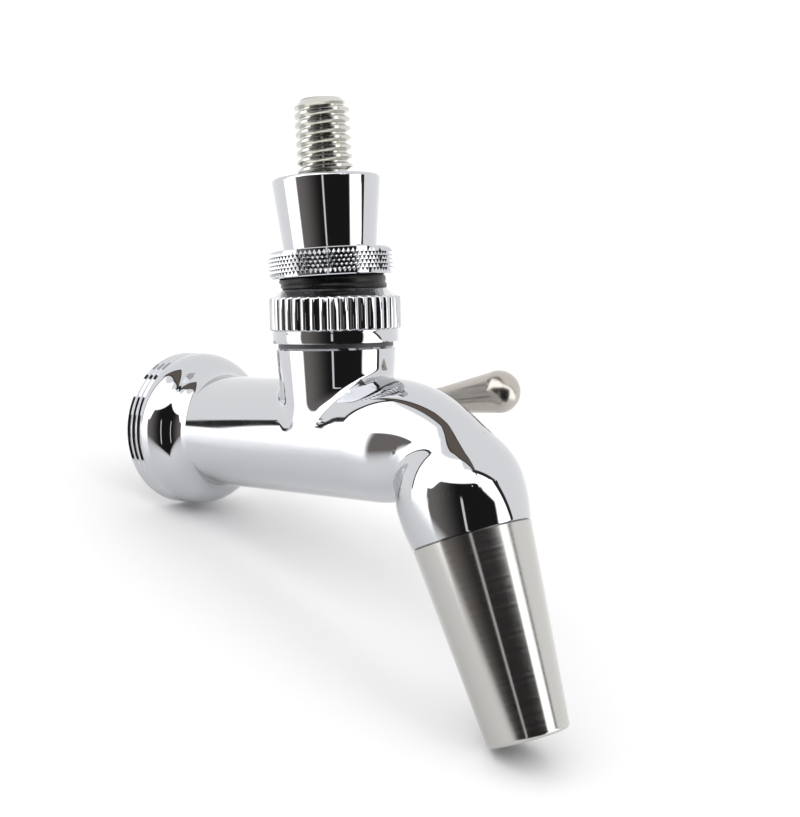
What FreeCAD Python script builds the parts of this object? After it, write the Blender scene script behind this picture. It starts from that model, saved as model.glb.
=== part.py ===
import FreeCAD, Part
import math
import os
import re
import Sketcher
from FreeCAD import Placement, Rotation, Vector

# Beer faucet: a forward sealing faucet with a ball lever and a flow control lever on its side.
# Frame: X runs forward along the shank, Z is up, and the origin is the centre of the rear face.

doc = FreeCAD.newDocument("beer_faucet")
sizes = doc.addObject("Spreadsheet::Sheet", "sizes")

# Sizes in millimetres and degrees. A text that starts with = follows from the sizes above it.
SIZES = [
    # Body: a threaded flange, a round tube with a closed end, a tapered neck, and a front chamber.
    # A slimmer ridge bends from the top of the tube over to the chamber.
    ("flange_radius", "14.29"),
    ("thread_pitch", "1.411"),
    ("thread_depth", "0.6"),
    ("thread_flat", "0.25"),
    ("thread_turns", "3"),
    ("thread_lead", "0.45"),
    ("thread_start", "0.55"),
    ("dome_radius", "5.2"),
    ("dome_fillet", "3.9"),
    ("tube_radius", "10.17"),
    ("neck_x", "41.97"),
    ("neck_foot_radius", "9.2"),
    ("neck_radius", "10.34"),
    ("neck_top", "16"),
    ("neck_edge", "0.35"),
    ("neck_fillet", "1.2"),
    ("bend_start", "55.98"),
    ("bend_radius", "16"),
    ("bend_angle", "70.5"),
    ("bend_lead", "3.29"),
    ("tube_end", "53"),
    ("tube_end_run", "8"),
    ("tube_end_bend", "20.7"),
    ("ridge_radius", "7.5"),
    ("ridge_drop", "0.07"),
    ("ridge_back", "46"),
    ("chamber_radius", "10.6"),
    ("chamber_height", "6.5"),
    ("chamber_run", "7"),
    ("chamber_bend", "12.5"),
    ("joint_radius", "9.85"),
    ("ridge_bend_radius", "=bend_radius + tube_radius - ridge_drop - ridge_radius"),
    ("joint_x", "=bend_start + bend_radius * sin(bend_angle) + bend_lead * cos(bend_angle)"),
    ("joint_z", "=-bend_radius * (1 - cos(bend_angle)) - bend_lead * sin(bend_angle)"),
    # Inside the body.
    ("bore_radius", "7.2"),
    ("gasket_radius", "9.4"),
    ("gasket_depth", "2"),
    ("gasket_bore", "6.6"),
    ("inlet_radius", "7.9"),
    ("inlet_depth", "4.6"),
    ("inlet_ring", "0.8"),
    ("seat_x", "54"),
    ("seat_bore", "4.9"),
    ("seat_land", "2.6"),
    ("outlet_radius", "6.2"),
    ("socket_radius", "7.55"),
    ("socket_depth", "6.3"),
    ("tooth_count", "30"),
    ("tooth_depth", "0.5"),
    ("tooth_margin", "0.35"),
    # Running clearances between pieces that move, and the fit of pieces that stay put.
    ("run_gap", "0.1"),
    ("seal_gap", "0.08"),
    ("fit_gap", "0.03"),
    # How far joined forms and cutting forms run on past the face where they meet.
    ("overrun", "1"),
    # Ball joint in the neck.
    ("ball_z", "16"),
    ("ball_radius", "6"),
    ("ball_ring_radius", "5"),
    ("ball_ring_wire", "1.1"),
    ("cup_radius", "7.6"),
    ("cup_seat", "13"),
    ("cup_top", "22"),
    ("cup_mouth", "4.9"),
    ("cup_chamfer", "0.6"),
    ("finger_hole", "4.4"),
    ("neck_wall", "1.4"),
    ("spigot_top", "21"),
    ("ball_ring_rise", "=sqrt((ball_radius + ball_ring_wire + seal_gap)^2 - ball_ring_radius^2)"),
    ("seat_floor", "=ball_z - ball_ring_rise - ball_ring_wire"),
    ("spigot_radius", "=cup_radius + neck_wall"),
    # Bonnet, with a ribbed grip above a plain band.
    ("bonnet_washer_height", "0.7"),
    ("bonnet_washer_radius", "9.9"),
    ("band_radius", "10.9"),
    ("band_height", "2.2"),
    ("grip_radius", "11.32"),
    ("grip_height", "5.7"),
    ("bevel_height", "0.9"),
    ("bonnet_top_radius", "10.2"),
    ("bonnet_edge", "0.3"),
    ("bonnet_mouth", "6.5"),
    ("rib_count", "40"),
    ("rib_tool", "0.55"),
    ("rib_depth", "0.37"),
    ("band_z", "=neck_top + bonnet_washer_height"),
    ("grip_z", "=band_z + band_height"),
    ("bevel_z", "=grip_z + grip_height"),
    ("bonnet_top", "=bevel_z + bevel_height"),
    # Friction washer between the bonnet and the lock nut.
    ("washer_foot", "9.9"),
    ("washer_head", "8.8"),
    ("washer_bore", "7.8"),
    # Lever, with its heights above the ball's centre along its own axis.
    ("lever_tilt", "2.9"),
    ("stem_radius", "3.6"),
    ("thread_core", "4.2"),
    ("nut_rise", "11.9"),
    ("nut_radius", "10.76"),
    ("nut_height", "4.65"),
    ("nut_edge", "0.35"),
    ("ferrule_foot", "8"),
    ("ferrule_head", "9.33"),
    ("ferrule_height", "12.45"),
    ("ferrule_edge", "0.6"),
    ("ferrule_recess", "7"),
    ("ferrule_recess_depth", "1"),
    ("stud_radius", "4.76"),
    ("stud_root", "3.9"),
    ("stud_pitch", "1.5875"),
    ("stud_turns", "7"),
    ("stud_lead", "0.9"),
    ("stud_end", "1.3"),
    ("finger_reach", "15"),
    ("finger_tip", "2.35"),
    ("finger_waist", "1.9"),
    ("ferrule_rise", "=nut_rise + nut_height"),
    ("stud_rise", "=ferrule_rise + ferrule_height"),
    ("finger_x", "=neck_x + finger_reach * sin(lever_tilt)"),
    ("finger_z", "=ball_z - finger_reach * cos(lever_tilt)"),
    # Shuttle, in the bore below the lever.
    ("hub_radius", "5.4"),
    ("hub_half", "5"),
    ("guide_length", "2.8"),
    ("guide_flutes", "4"),
    ("flute_radius", "2.3"),
    ("waist_radius", "3.2"),
    ("waist_length", "1.6"),
    ("screw_radius", "1.6"),
    ("screw_length", "3"),
    ("tail_radius", "3"),
    ("tail_pin_radius", "2.2"),
    ("tail_guide_length", "3"),
    ("tail_reach", "16.3"),
    ("tail_lobes", "3"),
    ("tail_flute", "2"),
    ("finger_gap", "0.2"),
    ("socket_flare", "1.65"),
    ("seat_ring_radius", "5"),
    ("seat_ring_wire", "1.2"),
    ("nose_flange", "6"),
    ("nose_plug", "4.45"),
    ("nose_tip", "2.6"),
    ("nose_lip", "1.1"),
    ("nose_cone", "1.4"),
    ("hub_front", "=finger_x + hub_half"),
    ("guide_front", "=hub_front + guide_length"),
    ("nose_back", "=guide_front + waist_length"),
    ("seat_cone", "=bore_radius - seat_bore"),
    ("seat_ring_x", "=seat_x + bore_radius - seat_ring_radius - sqrt(2) * (seat_ring_wire + seal_gap)"),
    # Flow control: a sleeve that slides over a fixed cone, moved by an eccentric pin.
    ("flow_x", "27"),
    ("cone_hub", "2"),
    ("cone_radius", "4.9"),
    ("cone_peak", "9.2"),
    ("cone_end", "19.5"),
    ("cone_tip", "1.4"),
    ("spider_arms", "3"),
    ("spider_arm_width", "1.4"),
    ("spider_ring_wall", "0.8"),
    ("sleeve_back", "15.2"),
    ("sleeve_front", "3.5"),
    ("sleeve_mouth", "5.2"),
    ("sleeve_throat", "4.3"),
    ("sleeve_bore", "4.9"),
    ("sleeve_mouth_length", "1.4"),
    ("sleeve_throat_length", "1"),
    ("sleeve_ring_wire", "0.7"),
    ("sleeve_ring_back", "5"),
    ("sleeve_ring_front", "2.3"),
    ("groove_play", "0.1"),
    ("pin_radius", "1.25"),
    ("pin_throw", "2"),
    ("pin_gap", "0.15"),
    ("pin_reach", "5.1"),
    ("shaft_radius", "3.4"),
    ("shaft_face", "0.15"),
    ("shaft_ring_wire", "0.55"),
    ("shaft_ring_y", "9"),
    ("shoulder_radius", "4.3"),
    ("shoulder_length", "1"),
    ("side_floor", "10.6"),
    ("gland_radius", "4.8"),
    ("gland_washer_height", "0.6"),
    ("shaft_neck", "2.6"),
    ("boss_radius", "6.2"),
    ("boss_end", "14"),
    ("boss_fillet", "1"),
    ("gland_head", "6.2"),
    ("gland_head_height", "1.6"),
    ("hub_gap", "0.2"),
    ("square_half", "1.8"),
    ("flow_hub_radius", "4.8"),
    ("flow_hub_height", "3.4"),
    ("flow_screw_radius", "1.2"),
    ("flow_screw_head", "2.7"),
    ("flow_screw_head_height", "1.3"),
    ("flow_screw_length", "4"),
    ("flow_screw_slot", "0.7"),
    ("flow_arm_rise", "2.4"),
    ("flow_arm_climb", "8.3"),
    ("flow_arm_splay", "3.9"),
    ("flow_arm_length", "35.2"),
    ("flow_arm_root", "1.6"),
    ("flow_arm_from", "3.2"),
    ("flow_arm_waist", "2.35"),
    ("flow_arm_waist_at", "23"),
    ("flow_tip_radius", "3.75"),
    ("sleeve_radius", "=bore_radius - run_gap"),
    ("sleeve_ring_radius", "=bore_radius - seal_gap - sleeve_ring_wire"),
    ("shaft_start", "=bore_radius + shaft_face"),
    ("shaft_ring_radius", "=shaft_radius + run_gap - seal_gap - shaft_ring_wire"),
    ("shoulder_y", "=side_floor + run_gap"),
    ("gland_washer_y", "=shoulder_y + shoulder_length + run_gap"),
    ("gland_y", "=gland_washer_y + gland_washer_height"),
    ("gland_head_end", "=boss_end + gland_head_height"),
    ("flow_hub_y", "=gland_head_end + hub_gap"),
    ("flow_hub_end", "=flow_hub_y + flow_hub_height"),
    # Spout, along its own axis from the joint down.
    ("spout_length", "33"),
    ("spout_radius", "9.79"),
    ("spout_tip_radius", "6.77"),
    ("spout_edge", "0.8"),
    ("spout_groove", "0.3"),
    ("spout_bore", "5.4"),
    ("spout_tip_bore", "5.6"),
    ("spout_spigot_length", "6"),
    ("spout_ring_wire", "0.6"),
    ("spout_ring_at", "2.6"),
]
for row, (name, text) in enumerate(SIZES, start=1):
    sizes.set(f"A{row}", name)
    sizes.set(f"B{row}", text)
    sizes.setAlias(f"B{row}", name)
doc.recompute()
ALIASES = {name for name, text in SIZES}


def bound(text):
    """The expression with each size in it written as a cell of the sheet."""
    return re.sub(r"[a-z_]+", lambda word: ("sizes." if word[0] in ALIASES else "") + word[0], text)


def value(text):
    """What an expression of sizes comes to."""
    return float(sizes.evalExpression(bound(text)))


def put(thing, rotation, x="0", y="0", z="0"):
    """Turns a piece and ties its place to the sheet."""
    thing.Placement = Placement(Vector(value(x), value(y), value(z)), rotation)
    for axis, text in zip("xyz", (x, y, z)):
        if text != "0":
            thing.setExpression(f"Placement.Base.{axis}", bound(text))
    return thing


# Turns that take a piece's own axis, its local Z, to where it lies in the faucet.
UPRIGHT = Rotation()
FORWARD = Rotation(Vector(0, 1, 0), 90)
SIDEWAYS = Rotation(Vector(1, 0, 0), -90)
LEVER = Rotation(Vector(0, 1, 0), -value("lever_tilt"))
SPOUT = Rotation(Vector(0, 1, 0), 90 + value("bend_angle"))
RISING = Rotation(Vector(0, 1, 0), value("bend_angle") - 90)


def draw_outline(sketch, corners):
    """Draws a closed outline. A corner is (across, along) or (across, along, radius), where the
    radius bends the stretch to the next corner: to the left if positive, to the right if not."""
    points = [Vector(value(corner[0]), value(corner[1]), 0) for corner in corners]
    ends = []
    rules = []
    ties = []
    for here, corner in enumerate(corners):
        start = points[here]
        end = points[(here + 1) % len(points)]
        if len(corner) == 2:
            sketch.addGeometry(Part.LineSegment(start, end))
            ends.append((1, 2))
            continue
        radius = value(corner[2])
        chord = end - start
        left = Vector(-chord.y, chord.x, 0).normalize()
        depth = math.sqrt(max(radius ** 2 - chord.Length ** 2 / 4, 0))
        centre = (start + end) / 2 + left * math.copysign(depth, radius)
        first, last = (start, end) if radius > 0 else (end, start)
        angles = [math.atan2(point.y - centre.y, point.x - centre.x) for point in (first, last)]
        circle = Part.Circle(centre, Vector(0, 0, 1), abs(radius))
        sketch.addGeometry(Part.ArcOfCircle(circle, *angles))
        ends.append((1, 2) if radius > 0 else (2, 1))
        ties.append((len(rules), f"abs({bound(corner[2])})"))
        rules.append(Sketcher.Constraint("Radius", here, abs(radius)))
    for here, (start_end, far_end) in enumerate(ends):
        after = (here + 1) % len(ends)
        rules.append(Sketcher.Constraint("Coincident", here, far_end, after, ends[after][0]))
        for kind, axis, place, text in (("DistanceX", -2, points[here].x, corners[here][0]),
                                        ("DistanceY", -1, points[here].y, corners[here][1])):
            if text == "0":
                rules.append(Sketcher.Constraint("PointOnObject", here, start_end, axis))
                continue
            ties.append((len(rules), bound(text)))
            rules.append(Sketcher.Constraint(kind, -1, 1, here, start_end, place))
    sketch.addConstraint(rules)
    for index, text in ties:
        sketch.setExpression(f"Constraints[{index}]", text)


def origin_plane(body, role):
    return next(item for item in body.Origin.OriginFeatures if item.Role == role)


def new_sketch(body, name, role):
    sketch = body.newObject("Sketcher::SketchObject", name)
    sketch.AttachmentSupport = (origin_plane(body, role), [""])
    sketch.MapMode = "FlatFace"
    return sketch


def turned_body(label, corners, rotation, x="0", y="0", z="0"):
    """A piece turned on a lathe: corners are (radius, height along its own axis)."""
    body = doc.addObject("PartDesign::Body", label)
    sketch = new_sketch(body, label + "_outline", "XZ_Plane")
    draw_outline(sketch, corners)
    turning = body.newObject("PartDesign::Revolution", label + "_turning")
    turning.Profile = sketch
    turning.ReferenceAxis = (sketch, ["V_Axis"])
    turning.Angle = 360
    body.Tip = turning
    return put(body, rotation, x, y, z)


def turned_solid(name, corners, rotation, x="0", y="0", z="0"):
    """A turned form that is joined to others, or cut from them."""
    sketch = doc.addObject("Sketcher::SketchObject", name + "_outline")
    sketch.Placement = Placement(Vector(), Rotation(Vector(1, 0, 0), 90))
    draw_outline(sketch, corners)
    solid = doc.addObject("Part::Revolution", name)
    solid.Source = sketch
    solid.Axis = (0, 0, 1)
    solid.Base = (0, 0, 0)
    solid.Angle = 360
    solid.Solid = True
    return put(solid, rotation, x, y, z)


def shape_of(kind, name, rotation, x="0", y="0", z="0", **dimensions):
    """A primitive of the given kind, its dimensions tied to the sheet."""
    solid = doc.addObject("Part::" + kind, name)
    for dimension, text in dimensions.items():
        solid.setExpression(dimension, bound(text))
    return put(solid, rotation, x, y, z)


def ring(label, radius, wire, rotation, x="0", y="0", z="0"):
    """An O-ring: a torus about its own axis."""
    return shape_of("Torus", label, rotation, x, y, z, Radius1=radius, Radius2=wire)


def joined(name, solids):
    fusion = doc.addObject("Part::MultiFuse", name)
    fusion.Shapes = solids
    return fusion


def cut_away(name, base, tools):
    cut = doc.addObject("Part::Cut", name)
    cut.Base = base
    cut.Tool = tools[0] if len(tools) == 1 else joined(name + "_tools", tools)
    return cut


def fluted(body, name, count, tool_radius, tool_centre):
    """Cuts evenly spaced round flutes along a turned piece."""
    sketch = new_sketch(body, name + "_circle", "XY_Plane")
    centre = value(tool_centre)
    sketch.addGeometry(Part.Circle(Vector(centre, 0, 0), Vector(0, 0, 1), value(tool_radius)))
    sketch.addConstraint([Sketcher.Constraint("Radius", 0, value(tool_radius)),
                          Sketcher.Constraint("PointOnObject", 0, 3, -1),
                          Sketcher.Constraint("DistanceX", -1, 1, 0, 3, centre)])
    sketch.setExpression("Constraints[0]", bound(tool_radius))
    sketch.setExpression("Constraints[2]", bound(tool_centre))
    pocket = body.newObject("PartDesign::Pocket", name)
    pocket.Profile = sketch
    pocket.Type = "ThroughAll"
    pocket.SideType = "Symmetric"
    pattern = body.newObject("PartDesign::PolarPattern", name + "_pattern")
    pattern.Originals = [pocket]
    pattern.Axis = (sketch, ["N_Axis"])
    pattern.Angle = 360
    pattern.setExpression("Occurrences", bound(count))
    body.Tip = pattern


def edges_where(shape, test):
    """Numbers of the edges whose every sampled point passes the test."""
    shortest = 0.5
    samples = 9
    return [number for number, edge in enumerate(shape.Edges, start=1)
            if edge.Length > shortest and all(test(point) for point in edge.discretize(samples))]


def rounded(name, base, choices):
    """Fillets groups of edges, given as (test, radius) pairs."""
    doc.recompute()
    fillet = doc.addObject("Part::Fillet", name)
    fillet.Base = base
    fillet.Edges = [(number, value(radius), value(radius))
                    for test, radius in choices for number in edges_where(base.Shape, test)]
    return fillet


def thread_corners(first, pitch, turns, crest, root, flat):
    """Corners of a thread drawn as rings, from the first flank on."""
    corners = []
    for turn in range(int(value(turns))):
        start = f"{first} + {turn} * {pitch}"
        flank = f"({crest} - {root}) * tan(30)"
        corners += [(crest, start),
                    (root, f"{start} + {flank}"),
                    (root, f"{start} + {flank} + {flat}"),
                    (crest, f"{start} + 2 * {flank} + {flat}")]
    return corners


def closing_end(radius, run, bend, foot):
    """Corners of an end that closes in two arcs: a flat one over the run, then one to the pole."""
    deep = f"sqrt({bend}^2 - {run}^2)"
    shoulder = f"({radius} - {bend} + {deep})"
    crown = f"({shoulder} * {bend} / {deep})"
    return [(radius, foot, bend),
            (shoulder, f"{foot} + {run}", crown),
            ("0", f"{foot} + {run} + {crown} * (1 - {run} / {bend})")]


# Body. The flange and tube are one turned form, drawn with the axis along the shank.
last_turn = "thread_start + thread_turns * thread_pitch"
dome_x = f"({last_turn})"
dome_drop = "(flange_radius - dome_radius - tube_radius - dome_fillet)"
dome_run = f"sqrt((dome_radius + dome_fillet)^2 - {dome_drop}^2)"
dome_share = "dome_radius / (dome_radius + dome_fillet)"
flange_and_tube = turned_solid("flange_and_tube", [
    ("0", "0"),
    ("flange_radius - thread_lead", "0"),
    ("flange_radius", "thread_lead"),
    *thread_corners("thread_start", "thread_pitch", "thread_turns",
                    "flange_radius", "(flange_radius - thread_depth)", "thread_flat"),
    ("flange_radius", dome_x, "dome_radius"),
    (f"flange_radius - dome_radius - {dome_drop} * {dome_share}",
     f"{dome_x} + {dome_run} * {dome_share}", "-dome_fillet"),
    ("tube_radius", f"{dome_x} + {dome_run}"),
    *closing_end("tube_radius", "tube_end_run", "tube_end_bend", "tube_end"),
], FORWARD)
# The ridge is a rod that runs on as a piece of a torus, whose axis lies across the faucet.
ridge_rod = shape_of("Cylinder", "ridge_rod", FORWARD, "ridge_back", "0", "ridge_bend_radius - bend_radius",
                     Radius="ridge_radius", Height="bend_start - ridge_back")
ridge_bend = shape_of("Torus", "ridge_bend",
                      Rotation(Vector(0, 0, 1), Vector(1, 0, 0), Vector(0, 1, 0), "XYZ"),
                      "bend_start", "0", "-bend_radius",
                      Radius1="ridge_bend_radius", Radius2="ridge_radius", Angle3="bend_angle")
# The front chamber is drawn from the joint up, swells a little and closes like an egg.
swell = "((chamber_height^2 + (chamber_radius - joint_radius)^2) / 2 / (chamber_radius - joint_radius))"
chamber = turned_solid("chamber", [
    ("0", "0"),
    ("joint_radius", "0", swell),
    *closing_end("chamber_radius", "chamber_run", "chamber_bend", "chamber_height"),
], RISING, "joint_x", "0", "joint_z")
neck = turned_solid("neck", [
    ("0", "0"),
    ("neck_foot_radius", "0"),
    ("neck_radius", "neck_top - neck_edge"),
    ("neck_radius - neck_edge", "neck_top"),
    ("spigot_radius", "neck_top"),
    ("spigot_radius", "spigot_top"),
    ("0", "spigot_top"),
], UPRIGHT, "neck_x")
boss = turned_solid("boss", [
    ("0", "0"),
    ("boss_radius", "0"),
    ("boss_radius", "boss_end - neck_edge"),
    ("boss_radius - neck_edge", "boss_end"),
    ("0", "boss_end"),
], SIDEWAYS, "flow_x")
body_form = joined("body_form", [flange_and_tube, ridge_rod, ridge_bend, chamber, neck, boss])

tube_radius = value("tube_radius")
neck_x = value("neck_x")
flow_x = value("flow_x")
TOUCH = 0.02


def on_tube(point):
    return abs(math.hypot(point.y, point.z) - tube_radius) < TOUCH


def on_neck_crease(point):
    return on_tube(point) and math.hypot(point.x - neck_x, point.y) < value("neck_radius") and point.z > 0


def on_boss_crease(point):
    away = math.hypot(point.x - flow_x, point.z)
    return on_tube(point) and abs(away - value("boss_radius")) < TOUCH and point.y > 0


body_rounded = rounded("body_rounded", body_form, [
    (on_neck_crease, "neck_fillet"),
    (on_boss_crease, "boss_fillet"),
])
# Everything that is bored out of the body.
land_end = "(seat_x + seat_cone + seat_land)"
main_bore = turned_solid("main_bore", [
    ("0", "0"),
    ("gasket_radius", "0"),
    ("gasket_radius", "gasket_depth"),
    ("inlet_radius", "gasket_depth"),
    ("inlet_radius", "inlet_depth"),
    ("bore_radius", "inlet_depth"),
    ("bore_radius", "seat_x"),
    ("seat_bore", "seat_x + seat_cone"),
    ("seat_bore", f"{land_end} + overrun"),
    ("0", f"{land_end} + overrun"),
], FORWARD)
outlet_from = math.degrees(math.asin((value(land_end) - value("bend_start")) / value("bend_radius")))
outlet_turn = Rotation(Vector(0, 1, 0), outlet_from)
outlet = shape_of("Torus", "outlet",
                  outlet_turn * Rotation(Vector(0, 0, 1), Vector(1, 0, 0), Vector(0, 1, 0), "XYZ"),
                  "bend_start", "0", "-bend_radius",
                  Radius1="bend_radius", Radius2="outlet_radius", Angle3=f"bend_angle - {outlet_from}")
socket = shape_of("Cylinder", "socket", SPOUT,
                  "joint_x - socket_depth * cos(bend_angle)", "0", "joint_z + socket_depth * sin(bend_angle)",
                  Radius="socket_radius", Height="2 * socket_depth")
neck_bore = turned_solid("neck_bore", [
    ("0", "0"),
    ("finger_hole", "0"),
    ("finger_hole", "seat_floor"),
    ("cup_radius", "seat_floor"),
    ("cup_radius", "spigot_top"),
    ("0", "spigot_top"),
], UPRIGHT, "neck_x")
side_bore = turned_solid("side_bore", [
    ("0", "0"),
    ("shaft_radius + run_gap", "0"),
    ("shaft_radius + run_gap", "side_floor"),
    ("gland_radius", "side_floor"),
    ("gland_radius", "boss_end"),
    ("0", "boss_end"),
], SIDEWAYS, "flow_x")
# Radial notches in the rear face keep the faucet from turning on its shank.
notch_side = value("tooth_depth * sqrt(2)")
notch = Part.makeBox(value("flange_radius"), notch_side, notch_side)
notch.rotate(Vector(), Vector(1, 0, 0), 45)
notch.translate(Vector(0, 0, -value("tooth_depth")))
below = Vector(0, 0, -value("overrun"))
height = value("2 * overrun")
inner_edge = Part.makeCylinder(value("gasket_radius + tooth_margin"), height, below)
outer_edge = Part.makeCylinder(value("flange_radius - thread_lead - tooth_margin"), height, below)
notch = notch.common(outer_edge).cut(inner_edge)
notches = []
for number in range(int(value("tooth_count"))):
    copy = notch.copy()
    copy.rotate(Vector(), Vector(0, 0, 1), 360 * number / value("tooth_count"))
    notches.append(copy)
rear_notches = doc.addObject("Part::Feature", "rear_notches")
rear_notches.Shape = Part.makeCompound(notches)
put(rear_notches, FORWARD)
bored_body = cut_away("bored_body", body_rounded, [main_bore, outlet, socket, neck_bore, side_bore])
faucet_body = cut_away("faucet_body", bored_body, [rear_notches])

# Inlet: the washer that seals on the shank, and the fixed cone behind it.
shank_washer = turned_body("shank_washer", [
    ("gasket_bore", "0"),
    ("gasket_radius - fit_gap", "0"),
    ("gasket_radius - fit_gap", "gasket_depth"),
    ("gasket_bore", "gasket_depth"),
], FORWARD)
retaining_ring = turned_body("retaining_ring", [
    ("inlet_radius - spider_ring_wall", "gasket_depth"),
    ("inlet_radius - fit_gap", "gasket_depth"),
    ("inlet_radius - fit_gap", "gasket_depth + inlet_ring"),
    ("inlet_radius - spider_ring_wall", "gasket_depth + inlet_ring"),
], FORWARD)
spider_x = "(gasket_depth + inlet_ring)"
cone_core = turned_solid("cone_core", [
    ("0", spider_x),
    ("cone_hub", spider_x),
    ("cone_hub", "inlet_depth"),
    ("cone_radius", "cone_peak"),
    ("cone_tip", "cone_end"),
    ("0", "cone_end + cone_tip / 2"),
], FORWARD)
spider_ring = turned_solid("spider_ring", [
    ("inlet_radius - spider_ring_wall", spider_x),
    ("inlet_radius - fit_gap", spider_x),
    ("inlet_radius - fit_gap", "inlet_depth"),
    ("inlet_radius - spider_ring_wall", "inlet_depth"),
], FORWARD)
arms = []
for number in range(int(value("spider_arms"))):
    arm = doc.addObject("Part::Box", f"spider_arm_{number + 1}")
    arm.setExpression("Length", bound("inlet_depth - gasket_depth - inlet_ring"))
    arm.setExpression("Width", bound("spider_arm_width"))
    arm.setExpression("Height", bound("inlet_radius - spider_ring_wall / 2"))
    turn = Rotation(Vector(1, 0, 0), 360 * number / value("spider_arms"))
    side = turn.multVec(Vector(0, -value("spider_arm_width") / 2, 0))
    arm.Placement = Placement(Vector(value(spider_x), side.y, side.z), turn)
    arms.append(arm)
flow_cone = joined("flow_cone", [cone_core, spider_ring, *arms])

# Ball joint: O-ring and ring below the ball, bearing cup above it.
ball_seat_o_ring = ring("ball_seat_o_ring", "ball_ring_radius", "ball_ring_wire",
                        UPRIGHT, "neck_x", "0", "seat_floor + ball_ring_wire")
ball_seat_ring = turned_body("ball_seat_ring", [
    ("ball_ring_radius + ball_ring_wire + fit_gap", "seat_floor"),
    ("cup_radius - fit_gap", "seat_floor"),
    ("cup_radius - fit_gap", "cup_seat"),
    ("ball_ring_radius + ball_ring_wire + fit_gap", "cup_seat"),
], UPRIGHT, "neck_x")
cup_inside = "(ball_radius + run_gap)"
bearing_cup = turned_body("bearing_cup", [
    (cup_inside, "cup_seat"),
    ("cup_radius - fit_gap", "cup_seat"),
    ("cup_radius - fit_gap", "cup_top"),
    ("cup_mouth + cup_chamfer", "cup_top"),
    ("cup_mouth", f"ball_z + sqrt({cup_inside}^2 - cup_mouth^2)", f"-{cup_inside}"),
    (cup_inside, "ball_z"),
], UPRIGHT, "neck_x")

# Bonnet, screwed on the neck's spigot, with its washer and the friction washer on top.
bonnet_washer = turned_body("bonnet_washer", [
    ("spigot_radius + fit_gap", "neck_top"),
    ("bonnet_washer_radius", "neck_top"),
    ("bonnet_washer_radius", "band_z"),
    ("spigot_radius + fit_gap", "band_z"),
], UPRIGHT, "neck_x")
bonnet_collar = turned_body("bonnet_collar", [
    ("spigot_radius + fit_gap", "band_z"),
    ("band_radius - bonnet_edge", "band_z"),
    ("band_radius", "band_z + bonnet_edge"),
    ("band_radius", "grip_z"),
    ("grip_radius", "grip_z"),
    ("grip_radius", "bevel_z"),
    ("bonnet_top_radius", "bonnet_top"),
    ("bonnet_mouth", "bonnet_top"),
    ("cup_mouth + cup_chamfer", "cup_top"),
    ("spigot_radius + fit_gap", "cup_top"),
], UPRIGHT, "neck_x")
fluted(bonnet_collar, "ribs", "rib_count", "rib_tool", "grip_radius + rib_tool - rib_depth")


def level_circle(name, radius):
    """A circle on the bonnet's top."""
    return shape_of("Circle", name, UPRIGHT, "neck_x", "0", "bonnet_top", Radius=radius)


def tilted_circle(name, radius):
    """A circle just under the lock nut, square to the lever."""
    rise = "(nut_rise - fit_gap)"
    return shape_of("Circle", name, LEVER, f"neck_x - {rise} * sin(lever_tilt)", "0",
                    f"ball_z + {rise} * cos(lever_tilt)", Radius=radius)


def lofted(name, circles):
    loft = doc.addObject("Part::Loft", name)
    loft.Sections = circles
    loft.Solid = True
    loft.Ruled = True
    return loft


friction_washer = cut_away("friction_washer",
                           lofted("washer_form", [level_circle("washer_foot_circle", "washer_foot"),
                                                  tilted_circle("washer_head_circle", "washer_head")]),
                           [lofted("washer_hole", [level_circle("hole_foot_circle", "washer_bore"),
                                                   tilted_circle("hole_head_circle", "washer_bore")])])

# Lever, with heights from the ball's centre.
finger_dip = "sqrt(finger_tip^2 - finger_waist^2)"
ball_lever = turned_body("ball_lever", [
    ("0", "-finger_reach - finger_tip", "finger_tip"),
    ("finger_waist", f"-finger_reach + {finger_dip}"),
    ("finger_waist", "-sqrt(ball_radius^2 - finger_waist^2)", "ball_radius"),
    ("stem_radius", "sqrt(ball_radius^2 - stem_radius^2)"),
    ("stem_radius", "nut_rise"),
    ("thread_core", "nut_rise"),
    ("thread_core", "stud_rise"),
    ("stud_root", "stud_rise"),
    ("stud_root", "stud_rise + stud_lead / 2"),
    *thread_corners("stud_rise + stud_lead", "stud_pitch", "stud_turns",
                    "stud_radius", "stud_root", "stud_pitch / 8"),
    ("stud_radius", "stud_rise + stud_lead + stud_turns * stud_pitch"),
    ("stud_radius - stud_end", "stud_rise + stud_lead + stud_turns * stud_pitch + stud_end"),
    ("0", "stud_rise + stud_lead + stud_turns * stud_pitch + stud_end"),
], LEVER, "neck_x", "0", "ball_z")
lock_nut = turned_body("lock_nut", [
    ("thread_core", "nut_rise"),
    ("nut_radius - nut_edge", "nut_rise"),
    ("nut_radius", "nut_rise + nut_edge"),
    ("nut_radius", "ferrule_rise - nut_edge"),
    ("nut_radius - nut_edge", "ferrule_rise"),
    ("thread_core", "ferrule_rise"),
], LEVER, "neck_x", "0", "ball_z")
ferrule = turned_body("ferrule", [
    ("thread_core", "ferrule_rise"),
    ("ferrule_foot", "ferrule_rise"),
    ("ferrule_head", "stud_rise - ferrule_edge", "ferrule_edge"),
    ("ferrule_head - ferrule_edge", "stud_rise"),
    ("ferrule_recess", "stud_rise"),
    ("ferrule_recess", "stud_rise - ferrule_recess_depth"),
    ("thread_core", "stud_rise - ferrule_recess_depth"),
], LEVER, "neck_x", "0", "ball_z")

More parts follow.
